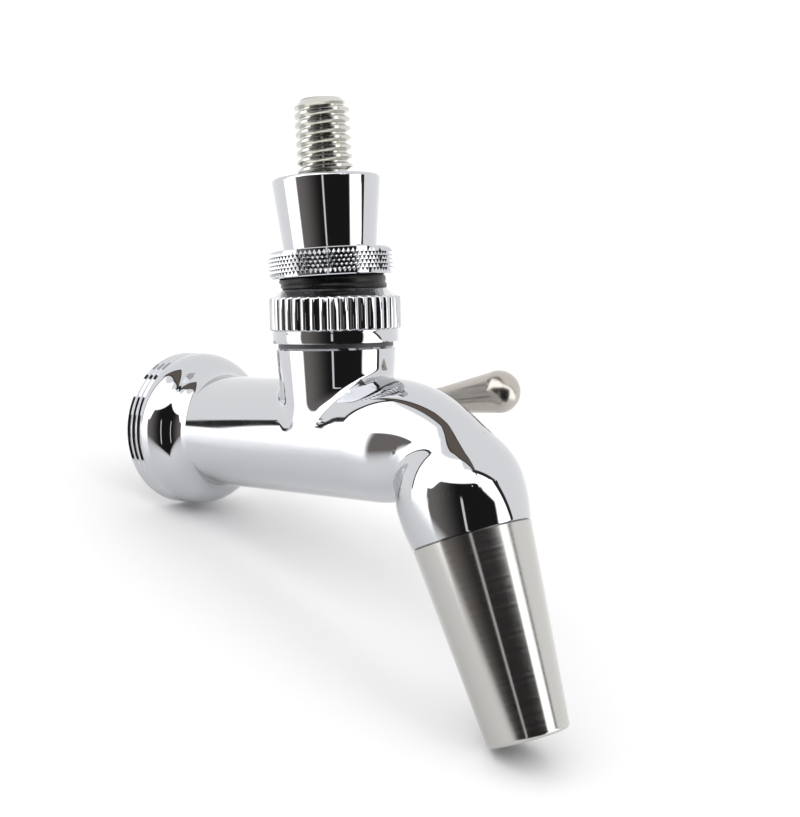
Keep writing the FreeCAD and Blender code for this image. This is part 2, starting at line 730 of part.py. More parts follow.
# Shuttle, in its closed place, with the socket that the lever's finger moves.
tail_end = "(finger_x - tail_reach)"
shuttle_form = turned_body("shuttle_form", [
    ("0", tail_end),
    ("tail_pin_radius", tail_end),
    ("tail_pin_radius", f"{tail_end} + tail_guide_length"),
    ("tail_radius", f"{tail_end} + tail_guide_length"),
    ("tail_radius", "finger_x - hub_half"),
    ("hub_radius", "finger_x - hub_half"),
    ("hub_radius", "hub_front"),
    ("bore_radius - run_gap", "hub_front"),
    ("bore_radius - run_gap", "guide_front"),
    ("waist_radius", "guide_front"),
    ("waist_radius", "nose_back"),
    ("screw_radius", "nose_back"),
    ("screw_radius", "nose_back + screw_length"),
    ("0", "nose_back + screw_length"),
], FORWARD)
fluted(shuttle_form, "shuttle_flutes", "guide_flutes", "flute_radius", "hub_radius + flute_radius")
finger_socket = turned_solid("finger_socket", [
    ("0", "-finger_tip - finger_gap"),
    ("finger_tip + finger_gap", "-finger_tip - finger_gap"),
    ("finger_tip + finger_gap", "0"),
    ("finger_tip + finger_gap + socket_flare", "hub_radius"),
    ("0", "hub_radius"),
], UPRIGHT, "finger_x", "0", "finger_z")
shuttle = cut_away("shuttle", shuttle_form, [finger_socket])
tail_guide = turned_body("tail_guide", [
    ("tail_pin_radius", tail_end),
    ("sleeve_bore - run_gap", tail_end),
    ("sleeve_bore - run_gap", f"{tail_end} + tail_guide_length"),
    ("tail_pin_radius", f"{tail_end} + tail_guide_length"),
], FORWARD)
fluted(tail_guide, "tail_flutes", "tail_lobes", "tail_flute", "sleeve_bore + tail_flute / 2")
ring_back = "(seat_ring_x - seat_ring_wire - fit_gap)"
ring_front = "(seat_ring_x + seat_ring_wire + fit_gap)"
ring_floor = "(seat_ring_radius - seat_ring_wire - fit_gap)"
shuttle_nose = turned_body("shuttle_nose", [
    ("screw_radius", "nose_back"),
    ("nose_flange", "nose_back"),
    ("nose_flange", ring_back),
    (ring_floor, ring_back),
    (ring_floor, ring_front),
    ("nose_plug", ring_front),
    ("nose_plug", f"{ring_front} + nose_lip"),
    ("nose_tip", f"{ring_front} + nose_lip + nose_cone"),
    ("0", f"{ring_front} + nose_lip + nose_cone"),
    ("0", "nose_back + screw_length"),
    ("screw_radius", "nose_back + screw_length"),
], FORWARD)
seat_o_ring = ring("seat_o_ring", "seat_ring_radius", "seat_ring_wire", FORWARD, "seat_ring_x")

# Flow control sleeve, at the middle of its travel.
back_x = "(flow_x - sleeve_back)"
front_x = "(flow_x + sleeve_front)"
throat_x = f"({back_x} + sleeve_mouth_length)"
groove_floor = "(sleeve_ring_radius - sleeve_ring_wire - fit_gap)"
groove_half = "(sleeve_ring_wire + groove_play)"
rear_ring_x = "(flow_x - sleeve_ring_back)"
front_ring_x = "(flow_x + sleeve_ring_front)"
sleeve_form = turned_solid("sleeve_form", [
    ("sleeve_mouth", back_x),
    ("sleeve_radius", back_x),
    ("sleeve_radius", f"{rear_ring_x} - {groove_half}"),
    (groove_floor, f"{rear_ring_x} - {groove_half}"),
    (groove_floor, f"{rear_ring_x} + {groove_half}"),
    ("sleeve_radius", f"{rear_ring_x} + {groove_half}"),
    ("sleeve_radius", f"{front_ring_x} - {groove_half}"),
    (groove_floor, f"{front_ring_x} - {groove_half}"),
    (groove_floor, f"{front_ring_x} + {groove_half}"),
    ("sleeve_radius", f"{front_ring_x} + {groove_half}"),
    ("sleeve_radius", front_x),
    ("sleeve_bore", front_x),
    ("sleeve_bore", f"{throat_x} + 2 * sleeve_throat_length"),
    ("sleeve_throat", f"{throat_x} + sleeve_throat_length"),
    ("sleeve_throat", throat_x),
], FORWARD)
slot_half = "(pin_throw + pin_radius + pin_gap)"
pin_slot = shape_of("Box", "pin_slot", UPRIGHT, "flow_x - pin_radius - pin_gap", "0", f"-{slot_half}",
                    Length="2 * (pin_radius + pin_gap)", Width="bore_radius", Height=f"2 * {slot_half}")
flow_sleeve = cut_away("flow_sleeve", sleeve_form, [pin_slot])
sleeve_o_ring_rear = ring("sleeve_o_ring_rear", "sleeve_ring_radius", "sleeve_ring_wire",
                          FORWARD, rear_ring_x)
sleeve_o_ring_front = ring("sleeve_o_ring_front", "sleeve_ring_radius", "sleeve_ring_wire",
                           FORWARD, front_ring_x)

# Cross shaft with its eccentric pin, at the lever's middle setting: the pin is straight above.
shaft_groove = "(shaft_ring_radius - shaft_ring_wire - fit_gap)"
shaft_groove_half = "(shaft_ring_wire + groove_play)"
shaft_form = turned_solid("shaft_form", [
    ("0", "shaft_start"),
    ("shaft_radius", "shaft_start"),
    ("shaft_radius", f"shaft_ring_y - {shaft_groove_half}"),
    (shaft_groove, f"shaft_ring_y - {shaft_groove_half}"),
    (shaft_groove, f"shaft_ring_y + {shaft_groove_half}"),
    ("shaft_radius", f"shaft_ring_y + {shaft_groove_half}"),
    ("shaft_radius", "shoulder_y"),
    ("shoulder_radius", "shoulder_y"),
    ("shoulder_radius", "shoulder_y + shoulder_length"),
    ("shaft_neck", "shoulder_y + shoulder_length"),
    ("shaft_neck", "flow_hub_y"),
    ("0", "flow_hub_y"),
], SIDEWAYS, "flow_x")
pin = shape_of("Cylinder", "eccentric_pin", SIDEWAYS, "flow_x", "pin_reach", "pin_throw",
               Radius="pin_radius", Height="shaft_start - pin_reach + overrun")
square = shape_of("Box", "shaft_square", UPRIGHT,
                  "flow_x - square_half", "flow_hub_y - overrun", "-square_half",
                  Length="2 * square_half", Width="flow_hub_height + overrun", Height="2 * square_half")
screw_hole = shape_of("Cylinder", "shaft_screw_hole", SIDEWAYS,
                      "flow_x", "flow_hub_end - flow_screw_length",
                      Radius="flow_screw_radius", Height="flow_screw_length")
flow_shaft = cut_away("flow_shaft", joined("shaft_joined", [shaft_form, pin, square]), [screw_hole])
shaft_o_ring = ring("shaft_o_ring", "shaft_ring_radius", "shaft_ring_wire",
                    SIDEWAYS, "flow_x", "shaft_ring_y")
gland_washer = turned_body("gland_washer", [
    ("shaft_neck + run_gap", "gland_washer_y"),
    ("gland_radius - fit_gap", "gland_washer_y"),
    ("gland_radius - fit_gap", "gland_y"),
    ("shaft_neck + run_gap", "gland_y"),
], SIDEWAYS, "flow_x")
gland_head = shape_of("Prism", "gland_hexagon", SIDEWAYS, "flow_x", "boss_end",
                      Circumradius="gland_head", Height="gland_head_height")
gland_head.Polygon = 6
gland_spigot = shape_of("Cylinder", "gland_spigot", SIDEWAYS, "flow_x", "gland_y",
                        Radius="gland_radius - fit_gap", Height="boss_end - gland_y + overrun")
gland_hole = shape_of("Cylinder", "gland_hole", SIDEWAYS, "flow_x", "gland_y - overrun",
                      Radius="shaft_neck + run_gap", Height="gland_head_end - gland_y + 2 * overrun")
flow_gland_nut = cut_away("flow_gland_nut", joined("gland_form", [gland_head, gland_spigot]), [gland_hole])

# Flow lever: a hub on the shaft's square and a tapered arm with a rounded tip.
flow_hub = turned_solid("flow_hub", [
    ("0", "flow_hub_y"),
    ("flow_hub_radius", "flow_hub_y"),
    ("flow_hub_radius", "flow_hub_end - neck_edge"),
    ("flow_hub_radius - neck_edge", "flow_hub_end"),
    ("0", "flow_hub_end"),
], SIDEWAYS, "flow_x")
arm_turn = (Rotation(Vector(0, 0, 1), value("flow_arm_splay")) *
            Rotation(Vector(0, 1, 0), 90 - value("flow_arm_climb")))
flow_arm = turned_solid("flow_arm", [
    ("0", "flow_arm_from"),
    ("flow_arm_root", "flow_arm_from"),
    ("flow_arm_waist", "flow_arm_waist_at"),
    ("flow_tip_radius", "flow_arm_length", "flow_tip_radius"),
    ("0", "flow_arm_length + flow_tip_radius"),
], arm_turn, "flow_x", "(flow_hub_y + flow_hub_end) / 2", "flow_arm_rise")
square_hole = shape_of("Box", "square_hole", UPRIGHT, "flow_x - square_half", "flow_hub_y", "-square_half",
                       Length="2 * square_half", Width="flow_hub_height", Height="2 * square_half")
flow_lever = cut_away("flow_lever", joined("flow_lever_form", [flow_hub, flow_arm]), [square_hole])
screw_form = turned_solid("flow_screw_form", [
    ("0", "flow_hub_end - flow_screw_length"),
    ("flow_screw_radius", "flow_hub_end - flow_screw_length"),
    ("flow_screw_radius", "flow_hub_end"),
    ("flow_screw_head", "flow_hub_end"),
    ("flow_screw_head", "flow_hub_end + flow_screw_head_height - neck_edge"),
    ("flow_screw_head - neck_edge", "flow_hub_end + flow_screw_head_height"),
    ("0", "flow_hub_end + flow_screw_head_height"),
], SIDEWAYS, "flow_x")
screw_slot = shape_of("Box", "flow_screw_slot_tool", UPRIGHT, "flow_x - flow_screw_head",
                      "flow_hub_end + flow_screw_head_height - flow_screw_slot", "-flow_screw_slot / 2",
                      Length="2 * flow_screw_head", Width="flow_screw_slot", Height="flow_screw_slot")
flow_lever_screw = cut_away("flow_lever_screw", screw_form, [screw_slot])

# Spout and its seal.
spout_ring_radius = "(socket_radius - fit_gap - spout_ring_wire)"
spout_groove_floor = "(socket_radius - 2 * fit_gap - 2 * spout_ring_wire)"
spout_groove_half = "(spout_ring_wire + groove_play)"
spout = turned_body("spout", [
    ("spout_bore", "-spout_spigot_length"),
    ("socket_radius - fit_gap", "-spout_spigot_length"),
    ("socket_radius - fit_gap", f"-spout_ring_at - {spout_groove_half}"),
    (spout_groove_floor, f"-spout_ring_at - {spout_groove_half}"),
    (spout_groove_floor, f"-spout_ring_at + {spout_groove_half}"),
    ("socket_radius - fit_gap", f"-spout_ring_at + {spout_groove_half}"),
    ("socket_radius - fit_gap", "0"),
    ("spout_radius - spout_groove", "0"),
    ("spout_radius", "spout_groove"),
    ("spout_tip_radius", "spout_length - spout_edge", "spout_edge"),
    ("spout_tip_radius - spout_edge", "spout_length"),
    ("spout_tip_bore", "spout_length"),
    ("spout_tip_bore", "spout_length / 2"),
], SPOUT, "joint_x", "0", "joint_z")
spout_o_ring = ring("spout_o_ring", spout_ring_radius, "spout_ring_wire", SPOUT,
                    "joint_x - spout_ring_at * cos(bend_angle)", "0",
                    "joint_z + spout_ring_at * sin(bend_angle)")

doc.recompute()
PIECES = [faucet_body, spout, spout_o_ring, shank_washer, retaining_ring, flow_cone,
          ball_seat_o_ring, ball_seat_ring, bearing_cup, bonnet_washer, bonnet_collar, friction_washer,
          ball_lever, lock_nut, ferrule, shuttle, shuttle_nose, seat_o_ring, tail_guide,
          flow_sleeve, sleeve_o_ring_rear, sleeve_o_ring_front, flow_shaft, shaft_o_ring,
          gland_washer, flow_gland_nut, flow_lever, flow_lever_screw]
for thing in doc.Objects:
    if "Invalid" in thing.State or "Error" in thing.State:
        raise RuntimeError(f"{thing.Name} did not compute: {thing.State}")
for piece in PIECES:
    if piece.Shape.isNull() or not piece.Shape.isValid():
        raise RuntimeError(f"{piece.Label} has no valid shape")
os.makedirs("parts", exist_ok=True)
for piece in PIECES:
    piece.Shape.exportStep(f"parts/{piece.Label}.step")
    box = piece.Shape.BoundBox
    extent = (f"X {box.XMin:.2f}..{box.XMax:.2f} Y {box.YMin:.2f}..{box.YMax:.2f} "
              f"Z {box.ZMin:.2f}..{box.ZMax:.2f}")
    print(f"{piece.Label:20s} {len(piece.Shape.Solids)} solid(s) {piece.Shape.Volume:10.1f} mm3 {extent}")
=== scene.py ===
import math

import bmesh
import bpy
import numpy
from mathutils import Matrix, Vector


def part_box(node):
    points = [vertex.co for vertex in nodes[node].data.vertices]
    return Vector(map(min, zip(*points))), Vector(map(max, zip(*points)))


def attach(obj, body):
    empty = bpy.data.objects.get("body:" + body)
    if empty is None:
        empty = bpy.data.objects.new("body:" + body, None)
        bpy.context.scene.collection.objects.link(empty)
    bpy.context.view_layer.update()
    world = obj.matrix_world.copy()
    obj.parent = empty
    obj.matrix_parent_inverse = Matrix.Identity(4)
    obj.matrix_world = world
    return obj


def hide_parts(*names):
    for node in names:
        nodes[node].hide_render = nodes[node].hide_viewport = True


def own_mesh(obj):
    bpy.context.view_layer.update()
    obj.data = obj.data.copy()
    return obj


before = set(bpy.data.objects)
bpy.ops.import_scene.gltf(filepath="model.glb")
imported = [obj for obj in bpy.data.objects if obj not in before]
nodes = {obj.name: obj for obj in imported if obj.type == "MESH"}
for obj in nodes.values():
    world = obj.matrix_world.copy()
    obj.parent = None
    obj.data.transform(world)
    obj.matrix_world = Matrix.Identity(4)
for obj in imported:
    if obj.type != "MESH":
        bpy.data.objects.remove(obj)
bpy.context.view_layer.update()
MM = 0.001

# Camera. It looks down a little on the faucet's front and right, from 0.3 m away. Its lens is
# worked out from the focal length in pixels and the picture's height.
CAMERA_PLACE = Vector((224.88, -176.38, 25.64)) * MM
CAMERA_RIGHT = Vector((0.7252, 0.6887, -0.0219))
CAMERA_AHEAD = Vector((-0.6875, 0.7218, -0.0810))
FOCAL_PIXELS = 1472.29
PICTURE_HEIGHT = 817
SENSOR = 36
NEAREST = 10
camera_data = bpy.data.cameras.new("camera")
camera_data.sensor_width = SENSOR
camera_data.lens = FOCAL_PIXELS / PICTURE_HEIGHT * SENSOR
camera_data.clip_start = NEAREST * MM
camera = bpy.data.objects.new("camera", camera_data)
ahead = CAMERA_AHEAD.normalized()
right = (CAMERA_RIGHT - ahead * CAMERA_RIGHT.dot(ahead)).normalized()
up = right.cross(ahead)
camera.matrix_world = Matrix.Translation(CAMERA_PLACE) @ Matrix((right, up, -ahead)).transposed().to_4x4()
bpy.context.scene.collection.objects.link(camera)
bpy.context.scene.camera = camera
bpy.context.scene.view_settings.view_transform = "Standard"


# Studio. A small white tent stands round the faucet, open in front, with two bright panels and a
# dark vent in its roof. Polished metal shows the tent's seams, the panels and the dim room.
def linear(hex_colour):
    """A colour written as sRGB hex, as the linear values that a shader takes."""
    parts = [int(hex_colour[place:place + 2], 16) / 255 for place in (1, 3, 5)]
    return [part / 12.92 if part <= 0.04045 else ((part + 0.055) / 1.055) ** 2.4 for part in parts] + [1.0]


def add_node(tree, kind, settings=None, **inputs):
    """A node with its settings. An input is a value, an output, or a node for its first output.
    It is named as its socket, or in_0, in_1 and so on where sockets share a name."""
    node = tree.nodes.new(kind)
    for name, value in (settings or {}).items():
        setattr(node, name, value)
    for name, value in inputs.items():
        socket = node.inputs[int(name[3:])] if name.startswith("in_") else node.inputs[name.replace("_", " ")]
        if isinstance(value, bpy.types.Node):
            value = value.outputs[0]
        if isinstance(value, bpy.types.NodeSocket):
            tree.links.new(value, socket)
        else:
            socket.default_value = value
    return node


world = bpy.data.worlds.new("tent")
bpy.context.scene.world = world
world.use_nodes = True
tent = world.node_tree
tent.nodes.clear()


def within(value, low, high, soft):
    """1 where a value lies between two limits, fading to 0 past them."""
    edges = []
    for limit, before, after in ((low, 0.0, 1.0), (high, 1.0, 0.0)):
        start = add_node(tent, "ShaderNodeMath", {"operation": "SUBTRACT"}, in_0=limit, in_1=soft)
        end = add_node(tent, "ShaderNodeMath", {"operation": "ADD"}, in_0=limit, in_1=soft)
        edges.append(add_node(tent, "ShaderNodeMapRange", {"interpolation_type": "SMOOTHSTEP"},
                              Value=value, From_Min=start, From_Max=end, To_Min=before, To_Max=after))
    return add_node(tent, "ShaderNodeMath", {"operation": "MULTIPLY"}, in_0=edges[0], in_1=edges[1])


def hung(behind, colour, *limits):
    """What is seen of the tent once one more cloth or opening covers the part within all limits."""
    share = limits[0]
    for limit in limits[1:]:
        share = add_node(tent, "ShaderNodeMath", {"operation": "MULTIPLY"}, in_0=share, in_1=limit)
    mixed = add_node(tent, "ShaderNodeMix", {"data_type": "RGBA"}, in_0=share, in_6=behind, in_7=colour)
    return mixed.outputs[2]


# A direction is split into its parts toward the camera, to the right and up, and into degrees.
FRONT = Vector((-CAMERA_AHEAD.x, -CAMERA_AHEAD.y, 0)).normalized()
RIGHT = Vector((-FRONT.y, FRONT.x, 0))
UP = Vector((0, 0, 1))
DEGREES = math.degrees(1)
direction = add_node(tent, "ShaderNodeTexCoord").outputs["Generated"]
parts = [add_node(tent, "ShaderNodeVectorMath", {"operation": "DOT_PRODUCT"}, in_0=direction, in_1=axis)
         for axis in (FRONT, RIGHT, UP)]
forward_part, side_part, height_part = (part.outputs["Value"] for part in parts)
turn = add_node(tent, "ShaderNodeMath", {"operation": "ARCTAN2"}, in_0=side_part, in_1=forward_part)
bearing = add_node(tent, "ShaderNodeMath", {"operation": "MULTIPLY"}, in_0=turn, in_1=DEGREES)
rise = add_node(tent, "ShaderNodeMath", {"operation": "ARCSINE"}, in_0=height_part)
elevation = add_node(tent, "ShaderNodeMath", {"operation": "MULTIPLY"}, in_0=rise, in_1=DEGREES)

# Levels of light. The white wall is 1, and the panels are brighter than it.
TENT_STRENGTH = 1.15
WALL = linear("#FFFFFF")
PANEL = [2.1, 2.1, 2.12, 1.0]
ROOM_LEFT = [0.20, 0.185, 0.175, 1.0]
ROOM_RIGHT = [0.014, 0.013, 0.013, 1.0]
SEAM = [0.03, 0.03, 0.03, 1.0]
SLIT = [0.85, 0.85, 0.85, 1.0]
VENT = [0.16, 0.13, 0.11, 1.0]

# Bright panels, in front of the seam on each side. The right seam leans forward as it rises. Each
# group of three values here is a low limit, a high limit and half the width of the soft edges.
RIGHT_SEAM = 0.1
RIGHT_SEAM_LEAN = 0.75
LEFT_SEAM = -0.12
RIGHT_HALF = (0.0, 2.0, 0.12)
PANEL_FORWARD = (0.0, 3.0, 0.02)
PANEL_ELEVATION = (-30.0, 64.0, 3.0)
seam_place = add_node(tent, "ShaderNodeMath", {"operation": "MULTIPLY_ADD"},
                      in_0=height_part, in_1=RIGHT_SEAM_LEAN, in_2=RIGHT_SEAM)
seam_right = add_node(tent, "ShaderNodeMath", {"operation": "SUBTRACT"}, in_0=forward_part, in_1=seam_place)
seam_left = add_node(tent, "ShaderNodeMath", {"operation": "SUBTRACT"}, in_0=forward_part, in_1=LEFT_SEAM)
past_seam = add_node(tent, "ShaderNodeMix", {"data_type": "FLOAT"},
                     in_0=within(side_part, *RIGHT_HALF), in_2=seam_left, in_3=seam_right)
sky = hung(WALL, PANEL, within(past_seam, *PANEL_FORWARD), within(elevation, *PANEL_ELEVATION))

# The two seams: dark lines along the rear edges of the panels.
LEFT_LINE = (-0.125, -0.075, 0.008)
LEFT_LINE_SIDE = (-1.1, -0.30, 0.02)
LEFT_LINE_ELEVATION = (6.0, 90.0, 2.0)
RIGHT_LINE = (-0.055, 0.055, 0.01)
RIGHT_LINE_SIDE = (0.30, 2.0, 0.05)
RIGHT_LINE_ELEVATION = (-12.0, 90.0, 3.0)
sky = hung(sky, SEAM, within(forward_part, *LEFT_LINE), within(side_part, *LEFT_LINE_SIDE),
           within(elevation, *LEFT_LINE_ELEVATION))
sky = hung(sky, SEAM, within(seam_right, *RIGHT_LINE), within(side_part, *RIGHT_LINE_SIDE),
           within(elevation, *RIGHT_LINE_ELEVATION))

# The vent in the roof, with a dark rim. Its front and back edges slant, each side in its own way.
VENT_FRONT = 0.42
VENT_FRONT_LEFT = 1.2
VENT_FRONT_RIGHT = 0.6
VENT_BACK_LEFT = 0.46
VENT_BACK_RIGHT = 1.5
VENT_RIM = 0.035
VENT_SOFT = 0.012
VENT_ELEVATION = (30.0, 91.0, 2.0)
leftwards = add_node(tent, "ShaderNodeMath", {"operation": "MINIMUM"}, in_0=side_part, in_1=0.0)
rightwards = add_node(tent, "ShaderNodeMath", {"operation": "MAXIMUM"}, in_0=side_part, in_1=0.0)
front_slant = add_node(tent, "ShaderNodeMath", {"operation": "MULTIPLY_ADD"},
                       in_0=rightwards, in_1=VENT_FRONT_RIGHT, in_2=VENT_FRONT)
vent_front = add_node(tent, "ShaderNodeMath", {"operation": "MULTIPLY_ADD"},
                      in_0=leftwards, in_1=VENT_FRONT_LEFT, in_2=front_slant)
back_slant = add_node(tent, "ShaderNodeMath", {"operation": "MULTIPLY"},
                      in_0=rightwards, in_1=VENT_BACK_RIGHT)
vent_back = add_node(tent, "ShaderNodeMath", {"operation": "MULTIPLY_ADD"},
                     in_0=leftwards, in_1=VENT_BACK_LEFT, in_2=back_slant)
rim_front = add_node(tent, "ShaderNodeMath", {"operation": "SUBTRACT"}, in_0=vent_front, in_1=VENT_RIM)
rim_back = add_node(tent, "ShaderNodeMath", {"operation": "ADD"}, in_0=vent_back, in_1=VENT_RIM)
overhead = within(elevation, *VENT_ELEVATION)
sky = hung(sky, SEAM, within(forward_part, vent_back, vent_front, VENT_SOFT), overhead)
sky = hung(sky, VENT, within(forward_part, rim_back, rim_front, VENT_SOFT), overhead)

# The open front, with the room behind the camera and a thin slit of light in it. The opening's top
# is low on the far left, rises to its full height, and falls again past the right corner.
ROOM_BEARING = (-64.0, 54.0, 2.5)
ROOM_FOOT = -60.0
ROOM_SOFT = 1.2
ROOM_TOP_LEFT = 14.0
ROOM_TOP = 27.0
ROOM_RISE_START = -58.0
ROOM_RISE_END = -38.0
ROOM_CORNER = 22.0
ROOM_FALL = 0.45
ROOM_DARKENS_FROM = -62.0
ROOM_DARKENS_TO = -8.0
SLIT_BEARING = (-6.0, -2.5, 0.6)
SLIT_ELEVATION = (-16.0, 12.0, 2.0)
from_corner = add_node(tent, "ShaderNodeMath", {"operation": "SUBTRACT"}, in_0=bearing, in_1=ROOM_CORNER)
past_corner = add_node(tent, "ShaderNodeMath", {"operation": "MAXIMUM"}, in_0=from_corner, in_1=0.0)
fall = add_node(tent, "ShaderNodeMath", {"operation": "MULTIPLY"}, in_0=past_corner, in_1=ROOM_FALL)
raised = add_node(tent, "ShaderNodeMapRange", {"interpolation_type": "SMOOTHSTEP"}, Value=bearing,
                  From_Min=ROOM_RISE_START, From_Max=ROOM_RISE_END, To_Min=ROOM_TOP_LEFT, To_Max=ROOM_TOP)
room_top = add_node(tent, "ShaderNodeMath", {"operation": "SUBTRACT"}, in_0=raised, in_1=fall)
toward_right = add_node(tent, "ShaderNodeMapRange", {"interpolation_type": "SMOOTHSTEP"}, Value=bearing,
                        From_Min=ROOM_DARKENS_FROM, From_Max=ROOM_DARKENS_TO)
room = hung(ROOM_LEFT, ROOM_RIGHT, toward_right)
sky = hung(sky, room, within(bearing, *ROOM_BEARING), within(elevation, ROOM_FOOT, room_top, ROOM_SOFT))
sky = hung(sky, SLIT, within(bearing, *SLIT_BEARING), within(elevation, *SLIT_ELEVATION))

# The camera itself sees only a white wall behind the faucet.
sky = hung(sky, WALL, add_node(tent, "ShaderNodeLightPath").outputs["Is Camera Ray"])
background = add_node(tent, "ShaderNodeBackground", Color=sky, Strength=TENT_STRENGTH)
add_node(tent, "ShaderNodeOutputWorld", Surface=background)


# Sheet: white card that the faucet lies on. The faucet rests on the rim of its flange and on the
# lip of its spout, so the card slopes in the faucet's own frame. It is clear from below, and a
# mirror sees only the part near the faucet, as the real card ends there.
def new_material(name):
    """A material with an empty node tree, and that tree."""
    material = bpy.data.materials.new(name)
    material.use_nodes = True
    material.node_tree.nodes.clear()
    return material, material.node_tree


SHEET_GAP = 0.02
SHEET_HALF = 1200
SHEET_NEAR = 45
SHEET_SEEN = 125
SHEET_MIDDLE = Vector((45, 0, -30)) * MM
rim_radius = -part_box("faucet_body")[0].y
under_rim = Vector((0, 0, -rim_radius - SHEET_GAP * MM))
spout_points = [vertex.co - under_rim for vertex in nodes["spout"].data.vertices]
sheet_fall = max(-point.z / point.x for point in spout_points)
sheet_tilt = Vector((sheet_fall, 0, 1)).normalized()
across = Vector((0, 1, 0))
along = across.cross(sheet_tilt)
corners = [under_rim + (along * a + across * b) * SHEET_HALF * MM
           for a, b in ((1, 1), (-1, 1), (-1, -1), (1, -1))]
sheet_mesh = bpy.data.meshes.new("sheet")
sheet_mesh.from_pydata(corners, [], [(0, 1, 2, 3)])
sheet = bpy.data.objects.new("sheet", sheet_mesh)
bpy.context.scene.collection.objects.link(sheet)
sheet_mesh.update()
if sheet_mesh.polygons[0].normal.dot(sheet_tilt) < 0:
    sheet_mesh.flip_normals()

# Uncoated card: flat white, with no shine.
card, tree = new_material("white_card")
geometry = add_node(tree, "ShaderNodeNewGeometry")
rays = add_node(tree, "ShaderNodeLightPath")
reach = add_node(tree, "ShaderNodeVectorMath", {"operation": "DISTANCE"},
                 in_0=geometry.outputs["Position"], in_1=SHEET_MIDDLE)
far = add_node(tree, "ShaderNodeMapRange", {"interpolation_type": "SMOOTHSTEP"},
               Value=reach.outputs["Value"], From_Min=SHEET_NEAR * MM, From_Max=SHEET_SEEN * MM)
mirrored = add_node(tree, "ShaderNodeMath", {"operation": "MULTIPLY"},
                    in_0=far, in_1=rays.outputs["Is Glossy Ray"])
clear = add_node(tree, "ShaderNodeMath", {"operation": "MAXIMUM"},
                 in_0=mirrored, in_1=geometry.outputs["Backfacing"])
white = add_node(tree, "ShaderNodeBsdfDiffuse", Color=linear("#F6F6F6"))
glass = add_node(tree, "ShaderNodeBsdfTransparent")
either = add_node(tree, "ShaderNodeMixShader", in_0=clear, in_1=white, in_2=glass)
add_node(tree, "ShaderNodeOutputMaterial", Surface=either)
sheet_mesh.materials.append(card)

# Body. Brass, cast in one with its neck and bent front, machined, then polished all over and
# plated. Polishing has softened the hollows where the tube, the ridge and the chamber meet.
FLANGE_RADIUS = 14.29
RIM_END = 4.783
RIM_ARC = 5.2
RIM_HOLLOW = 3.9
TUBE_RADIUS = 10.17
TUBE_END = 53.0
TUBE_END_LENGTH = 14.5
NECK_X = 41.97
NECK_FOOT_RADIUS = 9.2
NECK_RADIUS = 10.34
NECK_EDGE = 15.65
NECK_SOFT = 1.2
BEND_START = 55.98
BEND_RADIUS = 16.0
BEND_ANGLE = math.radians(70.5)
RIDGE_RADIUS = 7.5
RIDGE_TOP = 10.1
RIDGE_BACK = 6.0
RIDGE_SOFT = 3.0
JOINT_X = 72.160
JOINT_Z = -13.760
JOINT_RADIUS = 9.85
CHAMBER_RADIUS = 10.6
CHAMBER_WIDEST = 6.5
CHAMBER_CROWN = 11.5
CHAMBER_SOFT = 1.0
CHAMBER_PLAIN = 4.0
LEAST_SOFT = 0.02
ROUND_END_SHARE = 0.85
BOSS_X = 27.0
BOSS_FOOT = 8.2


def soft_union(first, second, reach):
    """Joins the distances to two forms, and fills the hollow between them over a reach."""
    overlap = numpy.maximum(reach - numpy.abs(first - second), 0) / reach
    return numpy.minimum(first, second) - overlap ** 2 * reach / 4


def joint_height(points):
    """How far points are above the joint with the spout, along the spout's axis."""
    return (points[:, 2] - JOINT_Z) * math.sin(BEND_ANGLE) - (points[:, 0] - JOINT_X) * math.cos(BEND_ANGLE)


